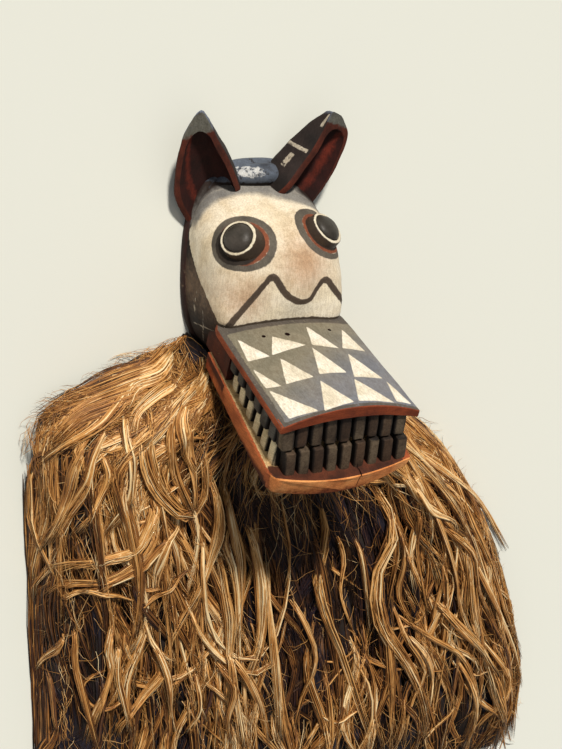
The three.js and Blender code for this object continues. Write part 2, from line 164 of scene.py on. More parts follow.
# Earth paint on carved wood: dry and chalky, rubbed thin on high places so the wood shows, dust in its pores.
def paintedWood(name, ground, layers, grain="Z", worn=0.5, rough=0.78, relief=0.5, grime=0.5):
    material, add, shader = newMaterial(name)
    place = add("TexCoord", {}, "Object")
    grainPlace = add("Mapping", {"Vector": place, "Scale": grainStretch[grain]})
    fibres, broad, middling, fine, waver = (
        add("TexNoise", {"Vector": grainPlace if pattern == "fibres" else place, "Scale": 1000.0 / size,
                         "Detail": detail, "Roughness": roughness, "Distortion": distortion})
        for pattern, (size, detail, roughness, distortion) in woodPatterns.items())
    waver = add("Math", {0: waver, 1: 0.5}, operation="SUBTRACT")
    wobble = add("Math", {0: waver, 1: wear["waver"]}, operation="MULTIPLY")
    rubbed = add("Mix", amounts(0.38, middling, fibres))
    wood = add("Mix", colours(fibres, "#5a3a22", "#a57b4e"), 2, **colourMix)
    groundShare = add("MapRange", span(broad, 0.35, 0.68), **softRange)
    colour = add("Mix", colours(groundShare, *ground), 2, **colourMix)
    blotched = add("MapRange", span(broad, 0.36, 0.66), **softRange)
    height = add("Math", {0: fibres, 1: 0.35}, operation="MULTIPLY")
    for layer in layers:
        mark = add("Attribute", {}, "Fac", attribute_name=layer["on"])
        edge = add("Math", {0: wobble, 1: layer.get("wobble", 0.6), 2: mark}, operation="MULTIPLY_ADD")
        soft = layer.get("soft", 0.7)
        mask = add("MapRange", span(edge, -soft, soft), **softRange)
        if layer.get("worn"):
            gone = 0.3 * layer["worn"]
            kept = add("MapRange", span(rubbed, 0.72 - gone, 0.62 - gone), **softRange)
            mask = add("Math", {0: mask, 1: kept}, operation="MULTIPLY")
        paint = add("Mix", colours(blotched, *layer["paint"]), 2, **colourMix)
        colour = add("Mix", colours(mask, colour, paint), 2, **colourMix)
        height = add("Math", {0: mask, 1: layer.get("thick", 0.25), 2: height}, operation="MULTIPLY_ADD")
    chips = add("MapRange", span(rubbed, 0.40 - 0.1 * (1 - worn), 0.36 - 0.1 * (1 - worn)), **softRange)
    bare = add("Math", {0: chips, 1: wear["chips"]}, operation="MULTIPLY")
    colour = add("Mix", colours(bare, colour, wood), 2, **colourMix)
    chalk = add("MapRange", span(add("Mix", amounts(0.5, fine, fibres)), 0.38, 0.62), **softRange)
    dust = add("Mix", colours(chalk, "#a89d90", "#ffffff"), 2, **colourMix)
    colour = add("Mix", colours(0.5 * grime + 0.25, colour, dust), 2, **darken)
    specks = add("MapRange", span(fine, 0.62, 0.74, wear["specks"] * grime), **softRange)
    colour = add("Mix", colours(specks, colour, "#3a2a1c"), 2, **colourMix)
    uneven = add("Mix", amounts(0.5, broad, middling))
    dirt = add("MapRange", span(uneven, 0.5, 0.68, wear["dirt"] * grime), **softRange)
    colour = add("Mix", colours(dirt, colour, "#6b5238"), 2, **darken)
    height = add("Math", {0: chips, 1: -0.5, 2: height}, operation="MULTIPLY_ADD")
    height = add("Math", {0: fine, 1: 0.22, 2: height}, operation="MULTIPLY_ADD")
    bump = add("Bump", {"Strength": relief, "Distance": wear["bump"], "Height": height})
    setInputs(shader, {"Base Color": colour, "Roughness": rough, "Specular IOR Level": 0.3, "Normal": bump})
    return material


cream = ("#ebdfc8", "#dfceb0")
# near-black painted shade in the gaps between the teeth
toothGap = {"on": "toothGap", "paint": ("#17100b", "#1e150f"), "soft": 1.6, "wobble": 0.6, "thick": 0.0}
facePaint = paintedWood("chalky cream earth paint on carved wood", ("#1d1715", "#2c1f19"), [
    {"on": "plate", "paint": cream, "wobble": 0.5, "worn": -0.25},
    {"on": "noseBase", "paint": ("#faf1dc", "#f1e5ca"), "soft": 2.5, "thick": 0.0},
    {"on": "blush", "paint": ("#c4a384", "#bb9877"), "soft": 22, "wobble": 6, "thick": 0.0},
    {"on": "arcBand", "paint": ("#8f8c86", "#74726f"), "wobble": 1.0, "soft": 3.0, "thick": 0.0},
    # painted highlight: a thin pale line along the plate's edge, where its front turns to the side
    {"on": "plateLine", "paint": ("#e9e0c9", "#d5c9ab"), "wobble": 0.3, "soft": 0.4, "worn": 0.1},
    {"on": "ringGrey", "paint": ("#625b51", "#504a42"), "worn": -0.1},
    {"on": "ringRed", "paint": ("#84492f", "#6e3c28"), "worn": -0.1},
    # painted shadow of the eye drum on the face, round its foot and longer on one side
    {"on": "eyeFoot", "paint": ("#2e251d", "#221b16"), "soft": 0.9, "worn": -0.1},
    {"on": "browLine", "paint": ("#5e5044", "#53463b"), "wobble": 0.7, "worn": -0.1},
    {"on": "rootLine", "paint": ("#5c5042", "#4e4337"), "wobble": 1.2, "worn": -0.1},
    {"on": "sideLines", "paint": ("#cfc6b4", "#b5ab9a"), "soft": 0.6, "worn": 0.3},
    # blue-grey over the black crown: painted sunlight and sky reflection on black paint
    {"on": "crown", "paint": ("#5b6472", "#3f434c"), "wobble": 3.0, "soft": 1.5, "worn": 0.3},
    {"on": "crownPatch", "paint": ("#cfd0ce", "#aeb3ba"), "wobble": 3.2, "soft": 1.2, "worn": 0.45},
    {"on": "rimBand", "paint": ("#371d17", "#281714"), "wobble": 1.0, "worn": 0.3},
], grain="Y", worn=-0.5, relief=0.4, grime=0.4)
snoutPaint = paintedWood("grey and white earth paint on a planed board", ("#7a7463", "#8a826f"), [
    {"on": "snoutFront", "paint": ("#6f727c", "#7f7f84"), "soft": 70, "wobble": 6, "thick": 0.0},
    {"on": "border", "paint": ("#56504a", "#605850"), "wobble": 1.2, "worn": 0.2},
    {"on": "triangles", "paint": ("#eee8da", "#e3d9c3"), "wobble": 0.45, "soft": 0.5, "thick": 0.4},
], grain="Z", worn=0.0, relief=0.4, grime=0.5)
redEdge = paintedWood("red ochre rubbed on a sawn edge", ("#a44f29", "#843d20"), [
    # one side of the jaw painted brighter orange as sunlight
    {"on": "jawSide", "paint": ("#cb7441", "#aa5a31"), "soft": 1.5, "wobble": 1.0, "thick": 0.0},
    # painted shade under the jaw, in the corner of the mouth and in a band along the mouth's slit
    {"on": "redDark", "paint": ("#58240f", "#431c10"), "soft": 5, "wobble": 2.5},
], grain="Z", worn=0.55, relief=0.5, grime=0.7)
# the dark ground is ochre darkened as painted shade on the upper board's front; the pale orange on the jaw's
# front is worn ochre and painted sunlight
redFront = paintedWood("red ochre worn off a front edge", ("#8f4120", "#6f3018"), [
    {"on": "rimFront", "paint": ("#fbae68", "#e78e4c"), "soft": 3.5, "wobble": 2.4, "thick": 0.0},
], grain="X", worn=0.6, relief=0.6, grime=0.7)
ledgePaint = paintedWood("cream paint worn to the wood on a ledge", ("#d6b888", "#bb9462"), [
    {"on": "rimTop", "paint": ("#a9552c", "#8c4524"), "soft": 0.8, "wobble": 1.0},
    # painted shadow of the teeth on the front of the ledge
    {"on": "rimLip", "paint": ("#5f2f1a", "#3f2012"), "soft": 2.0, "wobble": 1.5},
], grain="Z", worn=0.2, grime=0.7)
# dark red stain, also put on every face under the boards as painted shade there
mouthWood = paintedWood("dark red stain inside a carved mouth", ("#3b1a12", "#2a1410"), [],
                        grain="Z", worn=0.4, grime=0.8)
rawWood = paintedWood("bare adzed wood darkened by handling", ("#5b4029", "#6f4f33"), [],
                      grain="Y", worn=0.6, rough=0.7, relief=0.7)
# lit and shaded copies of one tooth paint: the front teeth's grey is weathered paint and painted shade
shadedFrontTeeth = paintedWood("weathered grey paint on carved teeth", ("#6f604d", "#504234"), [
    {"on": "toothStain", "paint": ("#55402f", "#3c2c20"), "soft": 5, "wobble": 2.5, "thick": 0.0}, toothGap,
], grain="Z", worn=0.1, grime=1.0)
# painted sunlight on the lower side teeth
sunlitSideTeeth = paintedWood("worn pale paint on carved teeth", ("#e4d3ae", "#bfa981"), [toothGap],
                        grain="Z", worn=0.15, grime=0.6)
# painted shade on the upper side teeth
shadedSideTeeth = paintedWood("slate grey paint on carved teeth", ("#5b5852", "#3d3a35"), [toothGap],
                         grain="Z", worn=0.1, grime=0.9)
# the hollow's red is darkened as painted shade, and a lighter line along it is a painted highlight on a rib
hollowRed = paintedWood("dark red paint in a carved hollow", ("#37110c", "#280d09"), [
    {"on": "hollowRib", "paint": ("#70291a", "#5a2013"), "soft": 1.8, "wobble": 1.5},
], grain="Y", worn=0.2, relief=0.5, grime=0.6)
earRim = paintedWood("red brown paint on a rubbed rim", ("#5f2a1b", "#452015"), [
    {"on": "earTip", "paint": ("#6e6c62", "#5b5c58"), "soft": 2.5, "wobble": 3, "worn": 0.1},
], grain="Y", worn=0.4, grime=0.6)
blackPaint = paintedWood("soot black paint on carved wood", ("#201a18", "#2e2421"), [
    {"on": "earMarks", "paint": ("#ddd4c2", "#c4b9a6"), "wobble": 1.0, "worn": 0.35},
    {"on": "earTip", "paint": ("#6b7488", "#5d6372"), "soft": 2.5, "wobble": 3, "worn": 0.3},
], grain="Y", worn=0.45, grime=0.5)
eyePaint = paintedWood("dark brown paint with a white ring on a carved eye", ("#3c3026", "#4c3c2d"), [
    {"on": "pupil", "paint": ("#322e28", "#46403a"), "soft": 0.5, "wobble": 0.3, "thick": 0.0},
    {"on": "whiteRing", "paint": ("#ece3cc", "#d6cab0"), "soft": 0.5, "wobble": 0.7, "worn": -0.15},
], grain="Z", worn=0.0, rough=0.45, grime=0.3)
print("paints mixed")


# Carved head

helmet = {
    "middleY": 61, "halfLength": 134, "halfWidth": 95.5, "outlinePower": 2.7, "wall": 13,
    "profile": [  # y along the middle, height there, squareness of the arch over it
        [-70, 32, 2.6], [-58, 64, 2.6], [-36, 90, 3.6], [-12, 108, 7], [4, 118, 10], [18, 121, 9],
        [30, 123, 7], [38, 124, 6], [46, 125, 5.4], [60, 125.5, 4.8], [76, 124, 4.2], [92, 120, 3.7],
        [106, 113, 3.2], [118, 103, 2.7], [131, 87, 2.3], [144, 65, 2], [156, 41, 1.9], [163, 28, 2],
        [166, 25, 2], [171, 31, 2], [181, 34, 2], [190, 28, 2.2]],
    "nose": {"x": 8, "tipY": 44, "length": 66, "rise": 7, "halfWidth": 26, "under": 38},
    "plateRaise": 1.8, "stationStep": 2.2, "across": 116,
    "flange": {"out": 3.5, "height": 13},
    "browLine": [  # the dark zigzag under the raised brow, x and y
        [-79, 7], [-75.4, 13.6], [-54.7, 39.7], [-38.2, 58.8], [-30.5, 67.5], [-26.7, 69.5], [-22.5, 66.5],
        [-18.1, 60.2], [-10.8, 49], [-4, 42.5], [1.2, 39.2], [9, 35.2], [16.9, 33.8], [24, 34], [30.3, 36.5],
        [36.8, 47.3], [41, 52.5], [46, 58], [52.1, 60.5], [57, 57], [64.1, 48.7], [74, 38.5], [84.3, 29.1],
        [95, 17]],
    "plateEdge": [  # side edge of the cream plate, y and height, on the mask's left
        [-20, 122], [5.5, 110], [29, 87], [52, 57.6], [73, 36.6], [96, 20], [118, 26], [132, 36], [143, 39.5],
        [155, 35], [163.5, 26.7], [168, 60]],
    "plateEdgeRight": [
        [-20, 122], [5.5, 110], [29, 87], [52, 57.6], [73, 36.6], [96, 20], [118, 19], [132, 20], [143, 21],
        [155, 22], [163.5, 24], [168, 27], [171, 70]],
    "sideLines": [[[36, 37], [16, 36], [-1, 36]], [[36, 47], [18, 41], [-1, 36]],
                  [[17, 65], [-13, 57.5], [-38, 34.5]], [[-15, 25], [-11, 60], [-8.5, 88]]],
}
snout = {"halfRoot": 93, "halfFront": 96, "length": 202, "archRoot": 9, "archFront": 19, "edgeSide": 11,
         "edgeMiddle": 17, "back": 16, "holes": [[-45, 33, 2.6], [-13, 36, 3.5], [52, 31, 2.5]]}
jaw = {"halfRoot": 92, "halfFront": 97, "length": 203, "bow": 11, "wideLeft": 9, "rootDrop": 48,
       "frontDrop": 75, "sag": 9, "thick": 26, "thickLeft": 13, "thickRight": 28, "back": 16,
       "cornerLeft": 2, "cornerRight": 9}
# The crack in the lower lip: its outline at a half width of 1, and half widths at distances from the front.
crack = {"at": 28, "outline": [[-1, -130], [-0.6, -104], [0.4, -104], [1, -76], [0.7, -76], [-0.5, -76]],
         "runs": [[-5.5, 0.5], [-2, 0.9], [2, 1.1], [20, 1.2]], "waver": 0.8}
triangles = [  # cream triangles of the snout's checker, x and f
    [[-78.3, 27], [-84.1, 73.6], [-55.1, 75]], [[-34.8, 36.4], [-52.2, 73.9], [0.2, 63.3]],
    [[21.8, 20.6], [8.7, 64.6], [43.1, 74.7]], [[72.7, 28.3], [48.6, 74.4], [82, 78]],
    [[-84.7, 88.6], [-85.2, 129.5], [-66.7, 133.9]], [[-45.4, 82.6], [-60.5, 133.1], [-22.8, 131.9]],
    [[5.6, 70.6], [-13.7, 128.3], [24.8, 130]], [[49.9, 87.1], [29.8, 140.2], [73.2, 140.4]],
    [[-83.9, 134], [-83.7, 191.7], [-47.1, 195.2]], [[-19, 141.1], [-41.3, 197.7], [1.3, 192]],
    [[27.5, 144.2], [7.9, 191.1], [58.2, 194.9]], [[75.6, 145.9], [64, 191.3], [88, 191.7]]]


def outlineHalf(y, out=0):
    t = np.abs(y - helmet["middleY"]) / (helmet["halfLength"] + out)
    p = helmet["outlinePower"]
    return (helmet["halfWidth"] + out) * np.maximum(1 - t**p, 0) ** (1 / p)


def noseRise(x, y):
    n = helmet["nose"]
    along = np.where(y < n["tipY"], (y - n["tipY"]) / n["under"], (y - n["tipY"]) / n["length"])
    return n["rise"] * np.exp(-((x - n["x"]) / n["halfWidth"]) ** 2) * np.maximum(0, 1 - along * along) ** 1.5


def domeHeight(x, y):
    p = tableAt(helmet["profile"], y, 2)
    t = np.minimum(np.abs(x) / outlineHalf(y), 1)
    return tableAt(helmet["profile"], y) * (1 - t**p) ** (1 / p) + noseRise(x, y)


def snoutHalf(f):
    return snout["halfRoot"] + (snout["halfFront"] - snout["halfRoot"]) * f / snout["length"]


def snoutTop(x, f):
    arch = snout["archRoot"] + (snout["archFront"] - snout["archRoot"]) * f / snout["length"]
    return arch * (1 - (x / snoutHalf(f)) ** 2)


def snoutEdge(x):
    return snout["edgeMiddle"] + (snout["edgeSide"] - snout["edgeMiddle"]) * (x / snout["halfFront"]) ** 2


def jawHalf(f):
    return jaw["halfRoot"] + (jaw["halfFront"] - jaw["halfRoot"]) * np.minimum(f / jaw["length"], 1)


def jawTop(x, f):
    t = f / jaw["length"]
    sag = jaw["sag"] * np.maximum(0, t) * (1 - np.minimum(1, (x / jaw["halfFront"]) ** 2))
    return -(jaw["rootDrop"] + (jaw["frontDrop"] - jaw["rootDrop"]) * t) - sag


def valuesOf(items, what):  # a vector for every vertex or face
    values = np.empty(len(items) * 3)
    items.foreach_get(what, values)
    return values.reshape(-1, 3)


# A closed skin over rings of points: a grid laid on the rings, sewn along its seam and closed at its ends.
def skin(name, rings, materials, choose=None):
    rings = toPart(rings)
    rows, count = rings.shape[:2]
    bpy.ops.mesh.primitive_grid_add(x_subdivisions=count, y_subdivisions=rows - 1, size=1)
    piece = bpy.context.object
    piece.name = name
    closed = np.concatenate([rings, rings[:, :1]], 1)
    piece.data.vertices.foreach_set("co", closed.reshape(-1))
    piece.data.update()
    bpy.ops.object.mode_set(mode="EDIT")
    bpy.ops.mesh.select_all(action="SELECT")
    bpy.ops.mesh.remove_doubles(threshold=1e-6)
    bpy.ops.mesh.select_all(action="SELECT")
    bpy.ops.mesh.fill_holes(sides=0)
    bpy.ops.mesh.select_all(action="SELECT")
    bpy.ops.mesh.normals_make_consistent(inside=False)
    bpy.ops.object.mode_set(mode="OBJECT")
    dress(piece, materials, choose)
    return piece


def dress(piece, materials, choose=None):
    piece.data.materials.clear()
    for material in materials:
        piece.data.materials.append(material)
    if choose:
        faces = piece.data.polygons
        faces.foreach_set("material_index", choose(valuesOf(faces, "normal")).astype(np.int32))


def hew(piece, marks):  # uneven hand carving: size of a dent and its depth
    mesh = piece.data
    spots, normals = valuesOf(mesh.vertices, "co"), valuesOf(mesh.vertices, "normal")
    push = np.zeros(len(spots))
    for size, depth in marks:
        push += np.array([noise.noise(Vector(p * 1000 / size)) for p in spots]) * depth
    mesh.vertices.foreach_set("co", (spots + normals * push[:, None] / 1000).reshape(-1))
    mesh.update()


def combine(piece, other, how):
    bpy.ops.object.select_all(action="DESELECT")
    piece.select_set(True)
    bpy.context.view_layer.objects.active = piece
    cut = piece.modifiers.new("joint", "BOOLEAN")
    cut.object, cut.operation, cut.solver, cut.material_mode = other, how, "MANIFOLD", "TRANSFER"
    bpy.ops.object.modifier_apply(modifier=cut.name)
    bpy.data.objects.remove(other, do_unlink=True)


def evenly(line, count):  # the same line with points evenly apart
    steps = stepsAlong(line)
    at = np.linspace(0, steps[-1], count)
    return np.stack([np.interp(at, steps, line[:, k]) for k in range(line.shape[1])], 1)


def domeRings(inset, floor, start, end, count, step):
    rings = []
    for y in np.linspace(start, end, int((end - start) / step) + 1):
        half, height = max(float(outlineHalf(y, -inset)), 2), float(tableAt(helmet["profile"], y)) - inset
        power = 2 / float(tableAt(helmet["profile"], y, 2))
        a = np.linspace(0, math.pi, 600)
        x = half * np.sign(np.cos(a)) * np.abs(np.cos(a)) ** power
        arch = evenly(np.stack([x, max(height, 4) * np.abs(np.sin(a)) ** power], 1), count)
        arch[:, 1] += noseRise(arch[:, 0], y)
        if inset == 0:
            brow = np.interp(arch[:, 0], *np.array(helmet["browLine"]).T)
            top = smooth(40, 90, arch[:, 1]) * (np.abs(arch[:, 0]) < 92) * smooth(150, 120, y)
            arch[:, 1] += helmet["plateRaise"] * smooth(-1.2, 1.2, y - brow) * top
        arch[0, 1] = arch[-1, 1] = floor
        rings.append(np.stack([arch[:, 0], np.full(count, y), arch[:, 1]], 1))
    return np.array(rings)


def strip(top, under, left, right, corner, count):  # outline of a board's cross-section, with eased corners
    ease = [(corner * math.sin(a), corner * math.cos(a)) for a in np.linspace(0, math.pi / 2, 4)]
    xs = np.linspace(left + corner, right - corner, count)
    upper = [(x, top(x)) for x in xs]
    upperRight = [(right - corner + a, top(right) - corner + b) for a, b in ease[1:]]
    lowerRight = [(right - corner + b, under(right) + corner - a) for a, b in ease]
    lower = [(x, under(x)) for x in xs[::-1]][1:]
    lowerLeft = [(left + corner - a, under(left) + corner - b) for a, b in ease[1:]]
    upperLeft = [(left + corner - b, top(left) - corner + a) for a, b in ease[:-1]]
    return np.array(upper + upperRight + lowerRight + lower + lowerLeft + upperLeft)


def ownAxes(v):  # part of a direction along the mask's own up and forward axes
    return v[:, 1] * cosLean + v[:, 2] * sinLean, v[:, 2] * cosLean - v[:, 1] * sinLean


def makeHelmet():
    mid, half = helmet["middleY"], helmet["halfLength"]
    dome = domeRings(0, 0, mid - half + 1, mid + half - 1, helmet["across"], helmet["stationStep"])
    shell = skin("carvedHead", dome, [facePaint])
    hew(shell, [(22, 0.9), (9, 0.35)])
    bpy.ops.object.select_all(action="DESELECT")
    a = np.linspace(0, 2 * math.pi, 120, endpoint=False)
    power = 2 / helmet["outlinePower"]
    acrossRim, alongRim = (np.sign(v) * np.abs(v) ** power for v in (np.cos(a), np.sin(a)))
    out, high = helmet["flange"]["out"], helmet["flange"]["height"]
    steps = [(out - 2, 0), (out - 0.6, 0.8), (out, 3), (out, high - 4), (out - 1, high - 1), (-1, high + 2)]
    rings = [np.stack([(helmet["halfWidth"] + grow) * acrossRim, mid + (half + grow) * alongRim,
                       np.full(len(a), z)], 1) for grow, z in steps]
    combine(shell, skin("rimFlange", np.array(rings), [facePaint]), "UNION")
    return shell


def makeUpperBoard():
    rings, front = [], snout["length"]
    for f in (-snout["back"], -4, *np.linspace(0, front - 2.2, 84), front - 0.9, front):
        ease = 1.6 * max(0, f - (front - 1.4)) / 1.4
        half = float(snoutHalf(f)) - (4 if f < -10 else 0) - ease
        ring = strip(lambda x: snoutTop(x, f) - ease, lambda x: snoutTop(x, f) - snoutEdge(x) + ease,
                     -half, half, 1.8, 84)
        rings.append(fromMask(ring[:, 0], ring[:, 1], f))

    # faces that look down take the dark mouth wood, as painted shade under the board
    def choose(normals):
        u, f = ownAxes(normals)
        return np.where(u > 0.7, 0, np.where(u < -0.7, 2, np.where(f > 0.5, 3, 1)))
    board = skin("upperBoard", np.array(rings), [snoutPaint, redEdge, mouthWood, redFront], choose)
    hew(board, [(40, 0.7), (12, 0.25)])
    for x, f, r in snout["holes"]:
        bpy.ops.mesh.primitive_cylinder_add(vertices=20, radius=r / 1000, depth=0.05,
                                            location=toPart(fromMask(x, 4, f))[()],
                                            rotation=(setting["lean"] - math.pi / 2, 0, 0))
        peg = bpy.context.object
        bpy.ops.object.transform_apply(location=True, rotation=True, scale=True)
        dress(peg, [mouthWood])
        combine(board, peg, "DIFFERENCE")
    return board


def makeLowerBoard():
    rings, front = [], jaw["length"]
    for f in (-jaw["back"], *np.linspace(0, front - 14, 40), *np.linspace(front - 12, front, 10)):
        near = (max(0, f - (front - 14)) / 14) ** 2
        ease = 1.6 * max(0, f - (front - 1.6)) / 1.6
        half = float(jawHalf(f))
        halfLeft = half + jaw["wideLeft"] * max(0, f / front)
        left, right = -(half - jaw["cornerRight"] * near) + ease, halfLeft - jaw["cornerLeft"] * near - ease

        def thick(x):
            s = np.maximum(0, 1 - (x / np.where(x > 0, halfLeft, half)) ** 2)
            side = np.where(x < 0, jaw["thickRight"], jaw["thickLeft"])
            return side + (jaw["thick"] - side) * s**0.5
        ring = strip(lambda x: jawTop(x, f) - ease, lambda x: jawTop(x, f) - thick(x) + ease,
                     left, right, 2.0, 60)
        s = np.maximum(0, 1 - (ring[:, 0] / np.where(ring[:, 0] > 0, halfLeft, half)) ** 2)
        depth = np.clip((jawTop(ring[:, 0], f) - ring[:, 1]) / 26, 0, 1)
        forward = f + jaw["bow"] * s * max(0, f / front) - 5 * depth
        rings.append(fromMask(ring[:, 0] * (1 - 0.035 * depth), ring[:, 1], forward))

    # faces that look down take the dark mouth wood, as painted shade under the board
    def choose(normals):
        u, f = ownAxes(normals)
        return np.where(u > 0.6, 0, np.where((u < -0.75) & (f < 0.5), 2, np.where(f > 0.5, 3, 1)))
    board = skin("lowerBoard", np.array(rings), [ledgePaint, redEdge, mouthWood, redFront], choose)
    hew(board, [(30, 0.9), (10, 0.35)])
    return board


# Each eye: x and y on the dome, the way it looks, how far its drum stands out, radius of the painted shadow
# round its foot.
eyes = {"places": [[-60, 110, (-0.66, 0.57, 0.49), 14, 29.6], [61, 115, (0.38, 0.7, 0.6), 11.5, 27.5]],
        "base": 28.2, "top": 24.4, "whiteFrom": 20.5, "whiteTo": 23.6, "red": 31.4, "grey": 40.2,
        "steps": [[0.4, 0.6], [0.8, 0.5], [2.6, 0.4], [0.6, 0], [0.4, -0.9], [0.4, 0.6], [0.8, 1.8],
                  [1.8, 1.9], [3, 2], [4, 1.4], [5, 0.8], [4, 0.3]]}  # how far each inset goes in and rises


def makeEye(x, y, look, high):  # a drum with a low domed pupil
    foot = Vector(toPart((x, y, float(domeHeight(x, y))))[()])
    turn = Vector(look).to_track_quat("Z", "Y").to_matrix().to_4x4()
    bpy.ops.mesh.primitive_cone_add(vertices=96, radius1=eyes["base"] / 1000, radius2=eyes["top"] / 1000,
                                    depth=(high + 17) / 1000, location=(0, 0, (high - 23) / 2000))
    ball = bpy.context.object
    bpy.ops.object.transform_apply(location=True, rotation=True, scale=True)
    bpy.ops.object.mode_set(mode="EDIT")
    bpy.ops.mesh.select_mode(type="FACE")
    bpy.ops.mesh.select_all(action="DESELECT")
    bpy.ops.object.mode_set(mode="OBJECT")
    for face in ball.data.polygons:
        face.select = face.normal.z > 0.9
    bpy.ops.object.mode_set(mode="EDIT")
    for inward, rise in eyes["steps"]:
        bpy.ops.mesh.inset(thickness=inward / 1000, depth=0)
        bpy.ops.transform.translate(value=(0, 0, rise / 1000))
    bpy.ops.mesh.select_all(action="SELECT")
    bpy.ops.mesh.subdivide(number_cuts=1)
    bpy.ops.mesh.select_mode(type="VERT")
    bpy.ops.object.mode_set(mode="OBJECT")
    ball.matrix_world = Matrix.Translation(foot) @ turn
    bpy.ops.object.transform_apply(location=True, rotation=True, scale=True)
    dress(ball, [eyePaint])
    hew(ball, [(16, 0.6), (5, 0.2)])
    return ball


# Each row is a station from the root to the tip: inner rim of the hollow, outer rim, edge of the back.
ears = {
    "right": [[-1, -20, 148, 16, -74, 92, 6, -14, 168, 2], [0, -37, 172, 38, -97, 118, 12, -30, 190, 5],
              [1, -53, 199, 46, -119, 152, 23, -46, 214, 14], [2, -72, 224, 54, -124, 190, 34, -66, 236, 28],
              [3, -86, 244, 58, -122, 232, 47, -82, 252, 42],
              [4, -103, 268, 62, -113, 263, 59, -101, 270, 56]],
    "left": [[-1, 12, 142, 24, 66, 112, 8, 4, 174, 3], [0, 29, 166, 45, 83, 139, 25, 15, 192, 8],
             [1, 46, 192, 50, 99, 168, 35, 27, 210, 15], [2, 60, 216, 56, 108, 196, 43, 38, 228, 26],
             [3, 72, 245, 62, 113, 233, 54, 58, 252, 42], [4, 80, 268, 66, 97, 260, 62, 76, 268, 57]],
    "wood": [[0, 0], [0.5, -0.02], [1, 0], [1.01, 0.2], [0.88, 0.5], [0.55, 0.86], [0.12, 1.02], [-0.01, 0.9],
             [-0.02, 0.45]],
    "hollow": [[0, -0.4], [1, -0.4], [1, 0], [0.9, 0.18], [0.66, 0.44], [0.4, 0.6], [0.14, 0.52],
               [0.02, 0.25]],
    "rim": 7, "hollowTo": 3.15,
    # White marks behind the left ear: station, half length, share of the depth, half width.
    "bars": [[1.8, 2.6, 0.5, 16], [3.4, 11, 0.24, 3], [0.98, 11, 0.5, 3.2]],
}


def earFrame(rows, s):
    inner, outer, back = (np.stack([tableAt(rows, s, first + k) for k in range(3)], -1) for first in (1, 4, 7))
    return inner, outer - inner, back - inner


def rounded(corners, cuts, ease):  # the same outline with its corners eased by averaging
    corners = np.asarray(corners, float)
    line = evenly(np.vstack([corners, corners[:1]]), cuts + 1)[:-1]
    for _ in range(ease):
        line = (np.roll(line, 1, 0) + 2 * line + np.roll(line, -1, 0)) / 4
    return line


def makeEar(rows):
    def ring(s, outline, rim, close):
        inner, across, down = earFrame(rows, s)
        span = (1 - 2 * rim / np.linalg.norm(across)) * close
        return inner + across * (0.5 + (outline[:, :1] - 0.5) * span) + down * outline[:, 1:]
    wood, hollow = rounded(ears["wood"], 72, 3), rounded(ears["hollow"], 60, 2)
    stations = (*np.linspace(-1, 3.9, 60), 3.96, 4.0)
    outside = [ring(s, wood, 0, 1 if s < 3.9 else 1 - 2.5 * (s - 3.9)) for s in stations]
    ear = skin("ear", np.array(outside), [blackPaint])
    inside = [ring(s, hollow, ears["rim"], 1) for s in np.linspace(-0.5, 2.6, 36)]
    for s in np.linspace(2.65, ears["hollowTo"], 12):
        t = (s - 2.6) / (ears["hollowTo"] - 2.6)
        inside.append(ring(s, hollow, ears["rim"], 0.12 + 0.88 * math.sqrt(max(0, 1 - t * t))))
    inside = skin("earHollow", np.array(inside), [hollowRed])
    _, a, b = earPlace(rows, fromPart(valuesOf(ear.data.polygons, "center")))
    ear.data.materials.append(earRim)
    ear.data.polygons.foreach_set("material_index", ((b < 0.07) & (a > -0.01)).astype(np.int32))
    combine(ear, inside, "DIFFERENCE")
    hew(ear, [(16, 0.7), (6, 0.3)])
    return ear


def earPlace(rows, p):  # station, share of the width and share of the depth of each point
    stations = np.linspace(-1, 4, 101)
    inner, across, down = earFrame(rows, stations)
    normal = np.cross(across, down)
    normal /= np.linalg.norm(normal, axis=1)[:, None]
    gap = np.abs(np.einsum("psk,sk->ps", p[:, None] - inner[None], normal))
    i = gap.argmin(1)
    off, c, d = p - inner[i], across[i], down[i]
    cc, dd, cd = (c * c).sum(1), (d * d).sum(1), (c * d).sum(1)
    oc, od = (off * c).sum(1), (off * d).sum(1)
    det = cc * dd - cd * cd
    return stations[i], (oc * dd - od * cd) / det, (od * cc - oc * cd) / det


teeth = {"front": 9, "pitch": 19.6, "width": 15.2, "depth": 13, "inset": 5, "lowerInset": 11,
         "lowerFront": 3.5, "side": 6, "sidePitch": 24.5, "sideWidth": 18.2, "lowerSideWidth": 16.8,
         "sideStart": 38, "slit": 2.4, "round": 3.8, "upperAt": -3, "lowerAt": 8, "slant": 0.15,
         "root": 4}      # how far each is sunk in the boards


